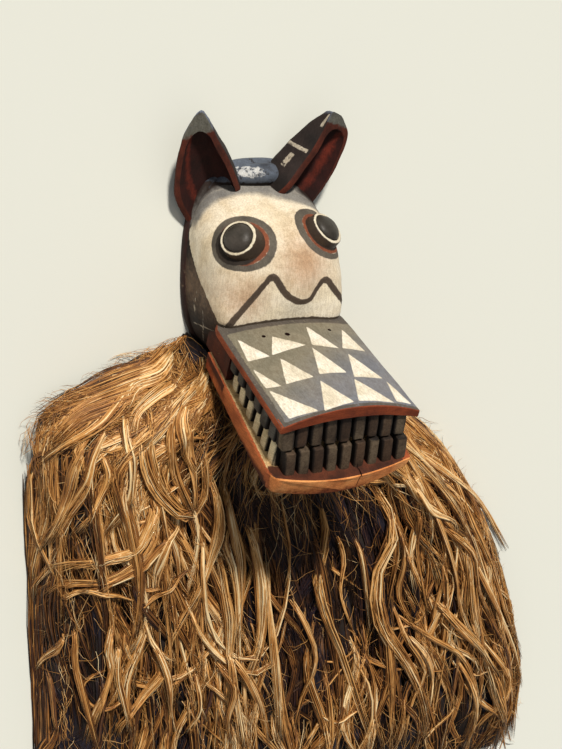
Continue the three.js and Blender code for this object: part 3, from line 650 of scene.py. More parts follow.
def makeTooth(x, f, wide, deep, fromU, toU, material, slant=0.0):
    high = abs(toU - fromU)
    bpy.ops.mesh.primitive_cube_add(size=1)
    tooth = bpy.context.object
    wide, deep = wide * (1 + 0.07 * rng.normal()), deep * (1 + 0.05 * rng.normal())
    bpy.ops.transform.resize(value=(wide / 1000, deep / 1000, high / 1000))
    bpy.ops.object.transform_apply(location=False, rotation=False, scale=True)
    bevel = tooth.modifiers.new("easedEdges", "BEVEL")
    bevel.width, bevel.segments = teeth["round"] / 1000, 3
    bevel.profile, bevel.limit_method = 0.55, "NONE"
    bpy.ops.object.modifier_apply(modifier=bevel.name)
    bpy.ops.object.mode_set(mode="EDIT")
    bpy.ops.mesh.select_all(action="SELECT")
    bpy.ops.mesh.subdivide(number_cuts=1)
    bpy.ops.object.mode_set(mode="OBJECT")
    spots = valuesOf(tooth.data.vertices, "co") * 1000
    z = spots[:, 2] / (high / 2)                                   # slight swell in the middle of the tooth
    spots[:, :2] *= (1 + 0.06 * (1 - z**2))[:, None]
    spots[:, 0] += spots[:, 2] * (0.03 * rng.normal() - slant)
    spots = fromMask(x + spots[:, 0], (fromU + toU) / 2 + spots[:, 2], f + spots[:, 1])
    tooth.data.vertices.foreach_set("co", toPart(spots).reshape(-1))
    tooth.data.update()
    bpy.ops.object.mode_set(mode="EDIT")
    bpy.ops.mesh.select_all(action="SELECT")
    bpy.ops.mesh.normals_make_consistent(inside=False)
    bpy.ops.object.mode_set(mode="OBJECT")
    hew(tooth, [(7, 0.5)])
    dress(tooth, [material])
    return tooth


def makeTeeth():
    made = []

    def pair(x, f, wide, deep, lowerX, lowerF, upper, lower, slant=0.0):
        roof, ground = float(snoutTop(x, f) - snoutEdge(x)), float(jawTop(lowerX, lowerF))
        meet = (roof + ground) / 2 + 0.8 * rng.normal()
        gap, root = teeth["slit"] / 2, teeth["root"]
        lowerDeep = deep if slant else teeth["lowerSideWidth"]
        made.append(makeTooth(x, f, wide, deep, roof + root, meet + gap, upper, slant))
        made.append(makeTooth(lowerX, lowerF, wide, lowerDeep, ground - root, meet - gap, lower, slant))
    frontF = snout["length"] - teeth["inset"] - teeth["depth"] / 2
    lowerF = jaw["length"] - teeth["lowerFront"] - teeth["depth"] / 2
    for i in range(teeth["front"]):
        x = (i - (teeth["front"] - 1) / 2) * teeth["pitch"]
        deep = teeth["depth"] + (3 if i in (0, teeth["front"] - 1) else 0)        # the corner teeth are deeper
        pair(x + teeth["upperAt"], frontF, teeth["width"], deep, x + teeth["lowerAt"], lowerF,
             shadedFrontTeeth, shadedFrontTeeth, teeth["slant"])
    for side in (-1, 1):
        for i in range(teeth["side"]):
            f = teeth["sideStart"] + (i + 0.5) * teeth["sidePitch"]
            upperX = side * float(snoutHalf(f) - teeth["inset"] - teeth["depth"] / 2)
            lowerX = side * float(jawHalf(f) - teeth["lowerInset"] - teeth["depth"] / 2)
            # upper side teeth in painted shade, lower side teeth in painted sunlight
            pair(upperX, f, teeth["depth"], teeth["sideWidth"], lowerX, f + 3, shadedSideTeeth, sunlitSideTeeth)
    bpy.ops.object.select_all(action="DESELECT")
    for tooth in made:
        tooth.select_set(True)
    bpy.context.view_layer.objects.active = made[0]
    bpy.ops.object.join()
    made[0].name = "teeth"
    return made[0]


def makeCheek(side):  # wall at the corner of the mouth
    rings = []
    for f in np.linspace(-34, 36, 16):
        at = side * (float(snoutHalf(f)) - 6)
        low, high = float(jawTop(at, f)) - 4, float(snoutTop(at, f)) - snout["edgeSide"] + 4
        end = at - side * (13 - 4 * max(0, (f - 30) / 6))
        ring = rounded([[at, low], [end, low], [end, high], [at, high]], 48, 1)
        rings.append(fromMask(ring[:, 0], ring[:, 1], f))
    cheek = skin("cheek", np.array(rings), [redEdge])
    hew(cheek, [(12, 0.6)])
    return cheek


head = makeHelmet()
mid, half, wall = helmet["middleY"], helmet["halfLength"], helmet["wall"]
boards, drums = [makeUpperBoard(), makeLowerBoard()], [makeEye(*place[:4]) for place in eyes["places"]]
for piece in (*boards, *drums, makeEar(ears["right"]), makeEar(ears["left"])):
    combine(head, piece, "UNION")
print("outside carved", len(head.data.polygons))
inside = skin("hollow", domeRings(wall, -20, mid - half + wall + 2, mid + half - wall - 22, 90, 3), [rawWood])
hew(inside, [(18, 1.2), (7, 0.5)])
combine(head, inside, "DIFFERENCE")
roof = 4 - snout["edgeMiddle"]
throatX, throatU = rounded([[-72, -46], [72, -46], [72, roof], [-72, roof]], 48, 1).T
throatRings = [fromMask(throatX, throatU, f) for f in np.linspace(-60, 8, 12)]
combine(head, skin("throat", np.array(throatRings), [rawWood]), "DIFFERENCE")
bpy.ops.mesh.primitive_cube_add(size=1, location=toPart((0, -26, 72))[()], scale=(0.144, 0.024, 0.092))
throat = bpy.context.object
bpy.ops.object.transform_apply(location=True, rotation=True, scale=True)
dress(throat, [rawWood])
combine(head, throat, "DIFFERENCE")
for side in (-1, 1):
    combine(head, makeCheek(side), "UNION")
combine(head, makeTeeth(), "UNION")
crackX, crackU = np.array(crack["outline"]).T
crackRings = []
for ahead, halfWidth in crack["runs"]:
    f = jaw["length"] + ahead
    middle = crack["at"] + crack["waver"] * math.sin(f * 0.5)
    crackRings.append(fromMask(middle + halfWidth * crackX, crackU, f))
combine(head, skin("crack", np.array(crackRings), [mouthWood]), "DIFFERENCE")
print("head carved in one", len(head.data.polygons), "faces")


def setValues(piece, name, values):
    values = np.asarray(values, np.float32)
    piece.data.attributes.new(name, "FLOAT", "POINT").data.foreach_set("value", values)


# The marks below are distances in mm from the edge of a painted shape, positive inside it.
unpainted = -9.0


def toothMarks(x, u, f):  # painted shade in the gaps between the teeth, and how much darker each front tooth is stained
    roof, ground = snoutTop(x, f) - snoutEdge(x), jawTop(x, f)
    meet = (roof + ground) / 2
    upper = u > meet
    middle = (np.where(upper, roof + teeth["root"], ground - teeth["root"]) + meet) / 2
    lean = -teeth["slant"] * (u - middle)
    number = (x - np.where(upper, teeth["upperAt"], teeth["lowerAt"]) - lean) / teeth["pitch"]
    front = np.abs(number - np.round(number)) * teeth["pitch"] - teeth["width"] / 2
    sideNumber = (f - teeth["sideStart"] - np.where(upper, 0, 3)) / teeth["sidePitch"] - 0.5
    sideWidth = np.where(upper, teeth["sideWidth"], teeth["lowerSideWidth"])
    side = np.abs(sideNumber - np.round(sideNumber)) * teeth["sidePitch"] - sideWidth / 2
    isFront = (f > snout["length"] - 26) & (np.abs(x) < 84)
    return {"toothGap": np.maximum(np.where(isFront, front, side) + 1.6, 1.6 - np.abs(u - meet)),
            "toothStain": 6 * np.sin(2.4 * np.round(number) + 1.9 * upper)}


def faceMarks(p):
    x, y, z = p.T
    leftShare = smooth(-45, 35, x)
    onLeft, onRight = tableAt(helmet["plateEdge"], y), tableAt(helmet["plateEdgeRight"], y)
    border = onRight * (1 - leftShare) + onLeft * leftShare
    plate = (z + 3 - border) * np.where(y > 125, 0.6, 0.75)
    plate = np.where((y > 167) | ((y < 2) & (np.abs(x) > 84)), -5, plate)
    brow = lineDistance(p[:, :2], helmet["browLine"])
    browWidth = np.where(x < -40, 5.0, 4.3)
    underBrow = np.where(y < np.interp(x, *np.array(helmet["browLine"]).T), 9, unpainted)
    noseBase = np.minimum(np.minimum(brow - 1, plate), underBrow)
    rootGap = toMask(p)[1] - snoutTop(np.clip(x, -90, 90), 0.0)
    sideLines = np.min([lineDistance(p[:, 1:], line) for line in helmet["sideLines"]], axis=0)
    blushes = (20 - np.hypot(x - 20, y - 84) * 0.7, 12 - np.hypot(x + 62, y - 40) * 0.6)
    return {
        "plate": plate,
        # painted highlight along the edge of the raised plate
        "plateLine": np.where((y < 112) & (z < 112), 0.7 - np.abs(plate + 0.2), unpainted),
        "browLine": np.where(z > 80, browWidth - brow, unpainted),
        "noseBase": np.where(z > 80, noseBase, unpainted),
        "arcBand": np.minimum(np.minimum(plate + 1.5, 9.5 - plate), (y - 116) * 0.3),
        "rootLine": np.where((z > 70) & (plate > -3), 4.0 - rootGap, unpainted),
        "blush": np.maximum(*blushes),
        "sideLines": np.where((np.abs(x) > 60) & (plate < -2), 0.8 - sideLines, unpainted),
        # painted sky reflection on the black crown
        "crown": np.where(y > 168, y - 170, unpainted),
        "crownPatch": 9 * (1 - np.hypot((x + 17) / 19, (y - 184) / 7)),
        "rimBand": np.where((z < 30) & (y < 130), 13.5 - z, unpainted),
    }


def eyeMarks(p):
    far = -99.0
    marks = {name: np.full(len(p), far) for name in ("ringGrey", "ringRed", "eyeFoot", "whiteRing", "pupil")}
    for x, y, look, high, shadowSize in eyes["places"]:
        look = np.array(look) / np.linalg.norm(look)
        off = p - np.array([x, y, float(domeHeight(x, y))])
        out = off @ look
        flat = off - out[:, None] * look
        r = np.linalg.norm(flat, axis=1)
        whiteFrom = eyes["whiteFrom"] - 0.6 * off[:, 0] / np.maximum(r, 1)      # brushed wider on one side
        greyR = np.linalg.norm(flat - np.array([-1.5, 2.0, 0]), axis=1)
        # the painted shadow round the drum's foot reaches further on one side
        shadowR = np.linalg.norm(flat + np.array([6.5 if x < 0 else 0.5, 1.0, 0]), axis=1)
        near = out > -34
        onTop = (out > high - 4.5) & (r < 27)
        for name, where, mark in (("ringGrey", near, np.minimum(r - eyes["red"], eyes["grey"] - greyR)),
                                  ("ringRed", near, eyes["red"] + 0.3 - r),
                                  ("eyeFoot", near, shadowSize - shadowR),
                                  ("whiteRing", onTop, np.minimum(r - whiteFrom, eyes["whiteTo"] - r)),
                                  ("pupil", onTop, eyes["whiteFrom"] - r)):
            marks[name] = np.maximum(marks[name], np.where(where, mark, far))
    return marks


def boardMarks(p):
    x, u, f = toMask(p)
    flat = np.stack([x, f], 1)
    onJaw, jawEdge = u < -60, jawHalf(f) + np.where(x > 0, jaw["wideLeft"] * f / jaw["length"], 0)
    # painted shade in the corner of the mouth and along the mouth's slit
    mouthCornerShade = np.where((f < 44) & (u < -13), 12, 3 - np.abs(u + 30))
    return {
        "triangles": np.max([insidePolygon(flat, t) for t in triangles], axis=0),
        "snoutFront": f - 120 + 0.7 * x,
        "border": np.maximum(6.5 - (x + snoutHalf(f)), np.maximum(f - 196, 13.5 - f)),
        # painted shade on the jaw's underside and at the mouth
        "redDark": np.where(onJaw, -u - 100 + 12 * (f < 190), mouthCornerShade),
        # painted sunlight on one side of the jaw
        "jawSide": np.where((u < jawTop(x, f) + 3) & (x < 0) & (f > 5), 5, -5),
        # the jaw's front, paler as worn ochre and painted sunlight
        "rimFront": np.where(onJaw, np.minimum(f - 196, u + 106 - 4 * (x / 97)**2), unpainted),
        # painted shadow of the teeth on the ledge
        "rimLip": np.where(onJaw & (np.abs(x) < jawHalf(f) - 5), f - 184, unpainted),
        "rimTop": np.maximum(f - (jaw["length"] - 12), np.abs(x) - jawEdge + 3.2),
        **toothMarks(x, u, f),
    }


def earMarks(p):
    tip, bars, ribHighlight = (np.full(len(p), unpainted) for _ in range(3))
    for side in ("right", "left"):
        isRight = side == "right"
        on = (p[:, 1] > 110) & ((p[:, 0] < -15) if isRight else (p[:, 0] > 8))
        s, a, b = earPlace(ears[side], p[on])
        tip[on] = (s - (3.0 if isRight else np.where(b > 0.1, 3.78, 3.35))) * 28
        # painted highlight along a rib in the hollow
        ribHighlight[on] = 2.2 - np.abs(a - 0.72) * 50
        if not isRight:
            marks = [np.minimum(long - np.abs(s - at) * 28, wide - np.abs(b - depth) * 40)
                     for at, long, depth, wide in ears["bars"]]
            bars[on] = np.where(b > 0.1, np.max(marks, axis=0), unpainted)
    return {"earTip": tip, "earMarks": bars, "hollowRib": ribHighlight}


def markPaint(piece):
    spots = valuesOf(piece.data.vertices, "co")
    spots[:, 2] = np.maximum(spots[:, 2], 0)                       # nothing reaches below the floor
    piece.data.vertices.foreach_set("co", spots.reshape(-1))
    for marksOf in (faceMarks, eyeMarks, boardMarks, earMarks):
        for name, values in marksOf(fromPart(spots)).items():
            setValues(piece, name, values)


bpy.ops.object.select_all(action="DESELECT")
head.select_set(True)
bpy.context.view_layer.objects.active = head
bpy.ops.object.mode_set(mode="EDIT")
bpy.ops.mesh.select_all(action="SELECT")
bpy.ops.mesh.dissolve_degenerate(threshold=1e-6)
bpy.ops.object.mode_set(mode="OBJECT")
print("mended", head.data.validate())
markPaint(head)
bpy.ops.object.shade_smooth_by_angle(angle=math.radians(32))
head.name = "carvedHead"
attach(head, "root")
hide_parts("carved_head")
print("head painted")


# Cape of bast fibre

cape = {
    "left": [[-88, 0], [-104, -40], [-160, -52], [-218, -82], [-280, -104], [-312, -130], [-312, -237],
             [-305, -383], [-300, -540], [-296, -690], [-290, -770]],
    "right": [[88, -10], [104, -52], [150, -92], [215, -140], [290, -197], [362, -271], [430, -370],
              [486, -500], [530, -620], [556, -740], [562, -830]],
    "collar": [[-88, 0], [-74, -42], [-30, -62], [30, -62], [74, -42], [88, -10]],
    "hem": [[-290, -770], [-190, -800], [-60, -815], [90, -830], [240, -845], [400, -850], [562, -830]],
    "height": 108, "collarHeight": 72, "hemHeight": 56, "edge": 75, "ridge": 8,
    "coreBelow": 14,         # how far the heap lies under the height of the cape
    "mostProud": 15,         # how far hanks may raise it
    "buried": 2.0,           # a strand deeper than this is left out
    "pieceStrands": 3300,    # strands in one piece
    "dip": [-108, -22, 34, 42, 40],      # where the heap sinks beside the helmet: x, y, its reaches and depth
    "floorGap": 2.2, "helmetGap": 5.5, "jawGap": 4,
    "darkPatches": [  # x, y, half width, half length, strength; dark dyed fibres, and in some patches painted shadow of the jaw
        [-259, -117, 40, 30, 0.8], [117, -343, 112, 98, 1], [90, -500, 46, 100, 0.95],
        [-251, -480, 40, 150, 0.92], [-282, -590, 34, 170, 0.95], [-72, -165, 22, 75, 0.85],
        [-47, -240, 24, 70, 0.9], [-18, -320, 26, 60, 0.9], [358, -714, 108, 66, 0.75],
        [-303, -204, 16, 80, 0.8], [100, -443, 70, 70, 0.95], [245, -522, 30, 90, 0.6],
        [60, -650, 44, 100, 0.7], [-140, -640, 110, 80, 0.6], [300, -420, 40, 70, 0.45]],
}
hanks = {  # how many of each kind are laid, and the points along a strand of each group
    "deep": 150, "indigo": 130, "flank": 72, "edge": 34, "tangled": 48,
    "golden": [[140, 10.5, 0.35], [150, 8.0, 0.55], [85, 5.5, 0.68]],      # number, widest half width, tone; the deepest layer is darkest, as painted shade down between the hanks
    "points": {"deepFibres": 5, "goldenHanks": 8, "crossingHanks": 9, "looseHanks": 10},
    "coarse": 0.86, "fine": 0.56, "pathPoints": 72,
}
# Single hairs: number, scatter of their headings, shortest and how much longer, curl at the left and at the
# right, tone and its scatter, how high they arch and its power, half their width, crinkle.
hairs = {
    "tow": [1500, 0.55, (25, 40), (0.8, 0.8), (0.5, 0.13), (4, 1), 0.4, 0.3],
    "stray": [850, 0.35, (25, 55), (0.9, 0.9), (0.64, 0.14), (5, 2), 0.34, 0.25],
    "edge": [650, 0.16, (25, 30), (0.4, 1.0), (0.64, 0.14), (5, 2), 0.34, 0.25],
    "fluff": [500, 0.3, (22, 26), (0.8, 0.8), (0.6, 0.13), (5, 1), 0.36, 0.3],
    "combed": [2600, 0.16, (45, 80), (0.4, 0.4), (0.62, 0.16), (3, 1), 0.36, 0.12],
    "hem": [700, 0.2, (25, 35), (0.5, 0.5), (0.48, 0.13), (0, 1), 0.9, 0.0],
}
hairPoints, hairReach = 5, (8, 24)       # points along a hair, and how far it may pass the left and right edge
hankTable = [  # half width, tone, path on the floor
    [6.8, 0.62, [[-186, -109], [-194, -144], [-183, -189], [-162, -222], [-123, -259], [-107, -253],
        [-96, -227], [-100, -192], [-109, -159]]],
    [4.8, 0.5, [[-172, -96], [-182, -137], [-172, -184], [-150, -222], [-124, -249]]],
    [5.6, 0.55, [[-143, -90], [-155, -136], [-144, -186], [-117, -251]]],
    [5.6, 0.5, [[-131, -113], [-125, -157], [-116, -205], [-112, -250]]],
    [8.8, 0.42, [[-113, -57], [-169, -68], [-226, -92], [-272, -107], [-305, -127]]],
    [7.2, 0.45, [[-151, -71], [-206, -92], [-262, -115], [-301, -152]]],
    [5.6, 0.48, [[-185, -79], [-237, -115], [-277, -142], [-306, -178]]],
    [8, 0.6, [[-111, -47], [-149, -63], [-185, -79], [-206, -102]]],
    [8, 0.6, [[-125, -72], [-163, -86], [-191, -109], [-204, -135]]],
    [7.2, 0.55, [[-124, -88], [-140, -116], [-133, -155], [-117, -190]]],
    [5.6, 0.6, [[-206, -102], [-211, -135], [-204, -180], [-208, -227], [-230, -268]]],
    [4.8, 0.62, [[-228, -117], [-251, -154], [-263, -198], [-279, -254], [-295, -294]]],
    [4.8, 0.6, [[-246, -146], [-233, -187], [-249, -228], [-268, -269]]],
    [4, 0.55, [[-260, -131], [-274, -172], [-277, -212], [-289, -261], [-305, -310]]],
    [7.5, 0.56, [[-169, -220], [-173, -259], [-196, -298], [-240, -309], [-272, -316], [-294, -326]]],
    [5.8, 0.54, [[-159, -258], [-178, -305], [-220, -336], [-262, -344], [-284, -352], [-298, -372]]],
    [5.5, 0.5, [[-130, -270], [-157, -296], [-183, -327], [-225, -347], [-263, -357]]],
    [2.8, 0.45, [[-183, -392], [-152, -371], [-105, -340]]],
    [3.2, 0.5, [[-285, -376], [-249, -353], [-193, -374], [-171, -380]]],
    [5.2, 0.62, [[-122, -272], [-148, -288], [-158, -328], [-157, -377]]],
    [4, 0.75, [[-96, -277], [-92, -347], [-75, -427], [-56, -491], [-14, -526]]],
    [6, 0.65, [[-89, -204], [-76, -266], [-78, -321], [-93, -380], [-112, -426]]],
    [8, 0.62, [[-64, -215], [-51, -282], [-32, -347], [-25, -411], [-32, -475]]],
    [5.6, 0.6, [[-71, -317], [-59, -380], [-44, -446], [-38, -519], [-35, -580]]],
    [8, 0.6, [[-25, -284], [-6, -348], [7, -416], [11, -490], [-6, -551]]],
    [6, 0.68, [[19, -346], [21, -418], [37, -512], [52, -596], [66, -678]]],
    [2.4, 0.8, [[-101, -314], [-86, -392], [-64, -456], [-37, -492], [3, -513], [32, -494], [49, -450],
        [52, -395], [47, -344]]],
    [2.4, 0.75, [[-116, -373], [-89, -444], [-43, -503], [10, -535], [46, -514], [59, -463]]],
    [6, 0.6, [[-37, -494], [-1, -547], [31, -611], [50, -675]]],
    [5.2, 0.55, [[-43, -477], [-30, -544], [-15, -604], [-4, -658]]],
    [4.8, 0.5, [[-62, -496], [-30, -544], [-28, -605], [-17, -659]]],
    [5.2, 0.62, [[-213, -398], [-221, -442], [-214, -480], [-231, -535], [-241, -599]]],
    [2.8, 0.85, [[-175, -404], [-154, -455], [-117, -490]]],
    [5.6, 0.6, [[-138, -487], [-161, -538], [-190, -567], [-198, -602]]],
    [4.4, 0.45, [[-261, -408], [-260, -467], [-246, -529], [-231, -600]]],
    [4, 0.65, [[-201, -439], [-204, -487], [-193, -539], [-182, -588]]],
    [2, 0.7, [[-130, -384], [-109, -474], [-87, -542], [-61, -604]]],
    [4.8, 0.5, [[-161, -437], [-137, -496], [-122, -562], [-96, -635]]],
    [2.4, 0.7, [[-273, -424], [-283, -459], [-297, -501]]],
    [2.4, 0.35, [[-287, -491], [-282, -535], [-279, -583]]],
    [4.4, 0.5, [[-90, -508], [-81, -566], [-92, -619]]],
    [3.6, 0.6, [[53, -417], [82, -466], [104, -515], [108, -557], [100, -616], [89, -664]]],
    [4.8, 0.6, [[92, -264], [104, -310], [108, -352], [96, -391], [114, -453], [145, -515], [180, -596],
        [208, -667], [234, -726]]],
    [2.4, 0.55, [[120, -385], [156, -416], [180, -435]]],
    [8, 0.62, [[178, -259], [209, -308], [219, -353], [198, -393], [199, -449], [218, -504],
        [273, -578], [311, -647], [348, -761]]],
    [2.8, 0.6, [[153, -338], [172, -391], [192, -454], [208, -518]]],
    [3.2, 0.6, [[244, -488], [314, -541], [377, -587], [412, -645], [424, -703], [418, -770]]],
    [4.8, 0.75, [[267, -525], [308, -575], [330, -624], [324, -662]]],
    [1.6, 0.4, [[26, -255], [36, -293], [48, -344], [47, -405]]],
    [2.4, 0.4, [[125, -328], [146, -383], [143, -434], [175, -509]]],
    [3.6, 0.5, [[193, -538], [216, -596], [226, -660], [260, -735]]],
    [4.8, 0.5, [[264, -189], [300, -228], [334, -287], [368, -354], [423, -447], [482, -554], [546, -656]]],
    [4.6, 0.7, [[224, -201], [271, -237], [343, -290], [437, -368], [499, -455]]],
    [4.8, 0.55, [[262, -283], [302, -355], [342, -436], [363, -504], [398, -571]]],
    [3.6, 0.45, [[246, -295], [265, -366], [288, -453], [301, -502]]],
    [3.6, 0.7, [[229, -257], [272, -311], [324, -342], [322, -369]]],
    [4.8, 0.5, [[293, -336], [363, -398], [385, -459], [428, -531]]],
    [5.6, 0.62, [[303, -469], [348, -515], [408, -576], [458, -641]]],
    [4, 0.5, [[343, -379], [394, -452], [445, -526], [505, -617], [545, -708]]],
    [3.2, 0.65, [[408, -559], [474, -641], [521, -731], [501, -789]]],
    [4, 0.5, [[238, -463], [265, -528], [308, -599], [298, -657], [297, -743]]],
    [3.6, 0.5, [[223, -326], [243, -395], [250, -459], [281, -518]]],
    [2.4, 0.65, [[367, -587], [408, -651], [430, -728], [424, -781]]],
]


def along(line, s):
    line = np.asarray(line, float)
    steps = stepsAlong(line)
    rows = np.column_stack([steps, line])
    return np.stack([tableAt(rows, np.asarray(s) * steps[-1], k) for k in (1, 2)], -1)


def capePoint(s, t):
    s, t = np.broadcast_arrays(np.asarray(s, float), np.asarray(t, float))
    left, right = along(cape["left"], s), along(cape["right"], s)
    collar, hem = along(cape["collar"], t), along(cape["hem"], t)
    s, t = s[..., None], t[..., None]
    ends = [np.array(cape[k][i], float) for k, i in (("left", 0), ("right", 0), ("hem", 0), ("hem", -1))]
    corner = (ends[0] * (1 - t) + ends[1] * t) * (1 - s) + (ends[2] * (1 - t) + ends[3] * t) * s
    return left * (1 - t) + right * t + collar * (1 - s) + hem * s - corner


def capeHeight(s, t):
    across, half = np.minimum(t, 1 - t), cape["edge"] / (180 + 670 * s**0.8)
    edge = np.sin(math.pi / 2 * np.minimum(1, across / half + 0.16))
    hem = np.minimum(1, np.maximum(0, 1 - s) / 0.16 + 0.14) ** 0.6
    rise = np.sin(math.pi / 2 * np.minimum(s, 0.2) / 0.2)
    spine = np.where(s < 0.2, cape["collarHeight"] + (cape["height"] - cape["collarHeight"]) * rise,
                     cape["height"] + (cape["hemHeight"] - cape["height"]) * (s - 0.2) / 0.8)
    ridges = np.sin(t * 88 + 2.2 * np.sin(s * 7 + t * 9)) + 0.5 * np.sin(t * 41 - 3 * s)
    return np.maximum(9, spine * edge * hem + cape["ridge"] * ridges * np.minimum(1, s * 6))


# The heap that strands are laid on, as heights in 3 mm cells; each hank raises it a little for the next one.
field = {"left": -360.0, "low": -905.0, "cell": 3.0, "size": (320, 312)}


def cellOf(xy):
    i = (xy[..., 0] - field["left"]) / field["cell"]
    j = (xy[..., 1] - field["low"]) / field["cell"]
    return np.clip(i, 0, field["size"][0] - 2.001), np.clip(j, 0, field["size"][1] - 2.001)


def heapAt(xy):
    i, j = cellOf(xy)
    a, b = i.astype(int), j.astype(int)
    u, v, h = i - a, j - b, field["now"]
    near = h[a, b] * (1 - u) + h[a + 1, b] * u
    return near * (1 - v) + (h[a, b + 1] * (1 - u) + h[a + 1, b + 1] * u) * v


def startHeap():
    s, t = np.meshgrid(np.linspace(0, 1, 900), np.linspace(0, 1, 900), indexing="ij")
    i, j = cellOf(capePoint(s, t))
    index = (np.round(i).astype(int) * field["size"][1] + np.round(j).astype(int)).ravel()
    cells = field["size"][0] * field["size"][1]
    total = np.bincount(index, (capeHeight(s, t) - cape["coreBelow"]).ravel(), cells)
    count = np.bincount(index, minlength=cells)
    heights = np.where(count > 0, total / np.maximum(count, 1), 0).reshape(field["size"])
    x = np.arange(field["size"][0])[:, None] * field["cell"] + field["left"]
    y = np.arange(field["size"][1])[None] * field["cell"] + field["low"]
    dipX, dipY, reachX, reachY, depth = cape["dip"]
    dip = depth * np.exp(-((x - dipX) / reachX) ** 2 - ((y - dipY) / reachY) ** 2)
    heights = np.where(heights > 0, np.maximum(heights - dip, 4), 0)
    field["start"], field["now"] = heights, heights.copy()


def keepClear(p):  # moves points out of the helmet and out of the jaw above
    out, power = cape["helmetGap"], helmet["outlinePower"]
    dx = p[..., 0] / (helmet["halfWidth"] + out)
    dy = (p[..., 1] - helmet["middleY"]) / (helmet["halfLength"] + out)
    k = (np.abs(dx) ** power + np.abs(dy) ** power) ** (1 / power)
    push = np.where(k < 1, 1 / np.maximum(k, 0.4), 1)
    p[..., 0] *= push
    p[..., 1] = helmet["middleY"] + (p[..., 1] - helmet["middleY"]) * push
    brink = -36 + (p[..., 0] + 88) * 0.226                          # the cape starts lower beside the helmet
    beyond = (p[..., 0] < -60) & (p[..., 1] > brink)
    p[..., 1] = np.where(beyond, brink - 0.2 * (p[..., 1] - brink), p[..., 1])
    x, u, f = toMask(p)
    under = jawTop(np.clip(x, -95, 95), np.clip(f, -16, 205)) - jaw["thickRight"] - cape["jawGap"]
    inside = (np.abs(x) < 103) & (f > -22) & (f < 216) & (u > under)
    moved = fromMask(x, np.where(inside, under, u), f)
    p[...] = np.where(inside[..., None], moved, p)
    p[..., 2] = np.maximum(p[..., 2], cape["floorGap"])
    return p


# how dark each place is: dark dyed fibre, and painted shadow where the jaw shades the cape
def darkness(xy):
    share = np.zeros(xy.shape[:-1])
    for x, y, rx, ry, strength in cape["darkPatches"]:
        d = ((xy[..., 0] - x) / rx) ** 2 + ((xy[..., 1] - y) / ry) ** 2
        share = np.maximum(share, strength * (1 - smooth(0.6, 1.3, d)))
    return share


capeEdge = np.array(cape["left"] + cape["hem"][1:] + cape["right"][-2::-1] + cape["collar"][-2:0:-1], float)
bunches = {}


def keep(group, points, *values):  # with a half width, a thickness, a tone and a dye for every strand
    spread = [np.broadcast_to(value, (len(points),)) for value in values]
    bunches.setdefault(group, []).append((points, *spread))


def settle(z, times):  # heights smoothed along each strand
    for _ in range(times):
        padded = np.concatenate([z[:, :1], z, z[:, -1:]], 1)
        z = (padded[:, :-2] + 2 * padded[:, 1:-1] + padded[:, 2:]) / 4
    return z


def layHank(group, path, halfWidth, high, count, tone, dye=0.0, twist=0.3, fuzz=0.6, lift=0.0, fine=False,
            splay=0.5, sink=1.0):
    many = hanks["pathPoints"]
    line = along(path, np.linspace(0, 1, many))
    way = np.gradient(line, axis=0)
    way /= np.maximum(np.linalg.norm(way, axis=1)[:, None], 1e-6)
    start, end = rng.random(count) * 0.16, 1 - rng.random(count) ** 1.6 * 0.3
    q = start[:, None] + (end - start)[:, None] * np.linspace(0, 1, hanks["points"][group])

    def at(values):
        return np.interp(q, np.linspace(0, 1, many), values)
    middle = np.stack([at(line[:, 0]), at(line[:, 1])], -1)
    side = np.stack([-at(way[:, 1]), at(way[:, 0])], -1)
    reach = np.sqrt(rng.random(count))[:, None]                     # only the upper half of a hank shows
    turn = rng.random(count)[:, None] * 1.2 * math.pi - 0.1 * math.pi + twist * math.pi * (q - 0.5)
    body = 0.62 + 0.38 * np.sin(math.pi * np.minimum(1, q * 1.3)) + splay * np.maximum(0, q - 0.7) * 2
    waves = sum(size * np.sin(2 * math.pi * (turns * q + rng.random(count)[:, None]))
                for size, turns in ((0.5, 1.3), (0.35, 2.9), (0.2, 5.3)))
    across = reach * np.cos(turn) * halfWidth * body + fuzz * waves
    upper = reach * np.sin(turn)
    dive = smooth(0, 0.13, q)                                       # a hank starts under the others
    up = high * (0.45 + 0.55 * upper) * np.minimum(1, body) * dive - 4 * (1 - dive) + 0.5 * fuzz * waves
    xy = middle + side * across[..., None]
    z = settle(heapAt(xy) * sink, 2) + up + lift * dive
    points = keepClear(np.concatenate([xy, z[..., None]], -1))
    width = hanks["fine" if fine else "coarse"] * (0.65 + 0.6 * rng.random(count))
    wide = width * np.where(rng.random(count) < (0.0 if fine else 0.14), 2.1, 1)
    tone = tone + (0 if fine else 0.42) * (upper.mean(1) - 0.38)    # its top painted paler, as sun bleaching and painted highlight; its underside darker, as painted shade
    tone = np.clip(tone + 0.13 * rng.normal(size=count), 0, 1)
    dye = np.clip(dye + (0.12 if dye else 0) * rng.normal(size=count), 0, 1)
    keep(group, points, wide, np.minimum(wide, 1.1) * 0.8, tone, dye)
    if high > 2:
        raiseHeap(line[3:-6], way[3:-6], halfWidth, high)


def raiseHeap(line, way, halfWidth, high):  # a thick hank carries what is laid over it
    for o in np.linspace(-0.9, 0.9, max(3, int(halfWidth * 0.9))):
        spots = line + np.stack([-way[:, 1], way[:, 0]], -1) * o * halfWidth
        a, b = (np.round(k).astype(int) for k in cellOf(spots))
        proud = heapAt(spots) + high * 0.8 * math.sqrt(1 - o * o)
        np.maximum.at(field["now"], (a, b), np.minimum(proud, field["start"][a, b] + cape["mostProud"]))


def flow(s, t):  # direction from collar to hem at s, t
    d = capePoint(np.minimum(s + 0.02, 1), t) - capePoint(np.maximum(s - 0.02, 0), t)
    return np.arctan2(d[..., 1], d[..., 0])


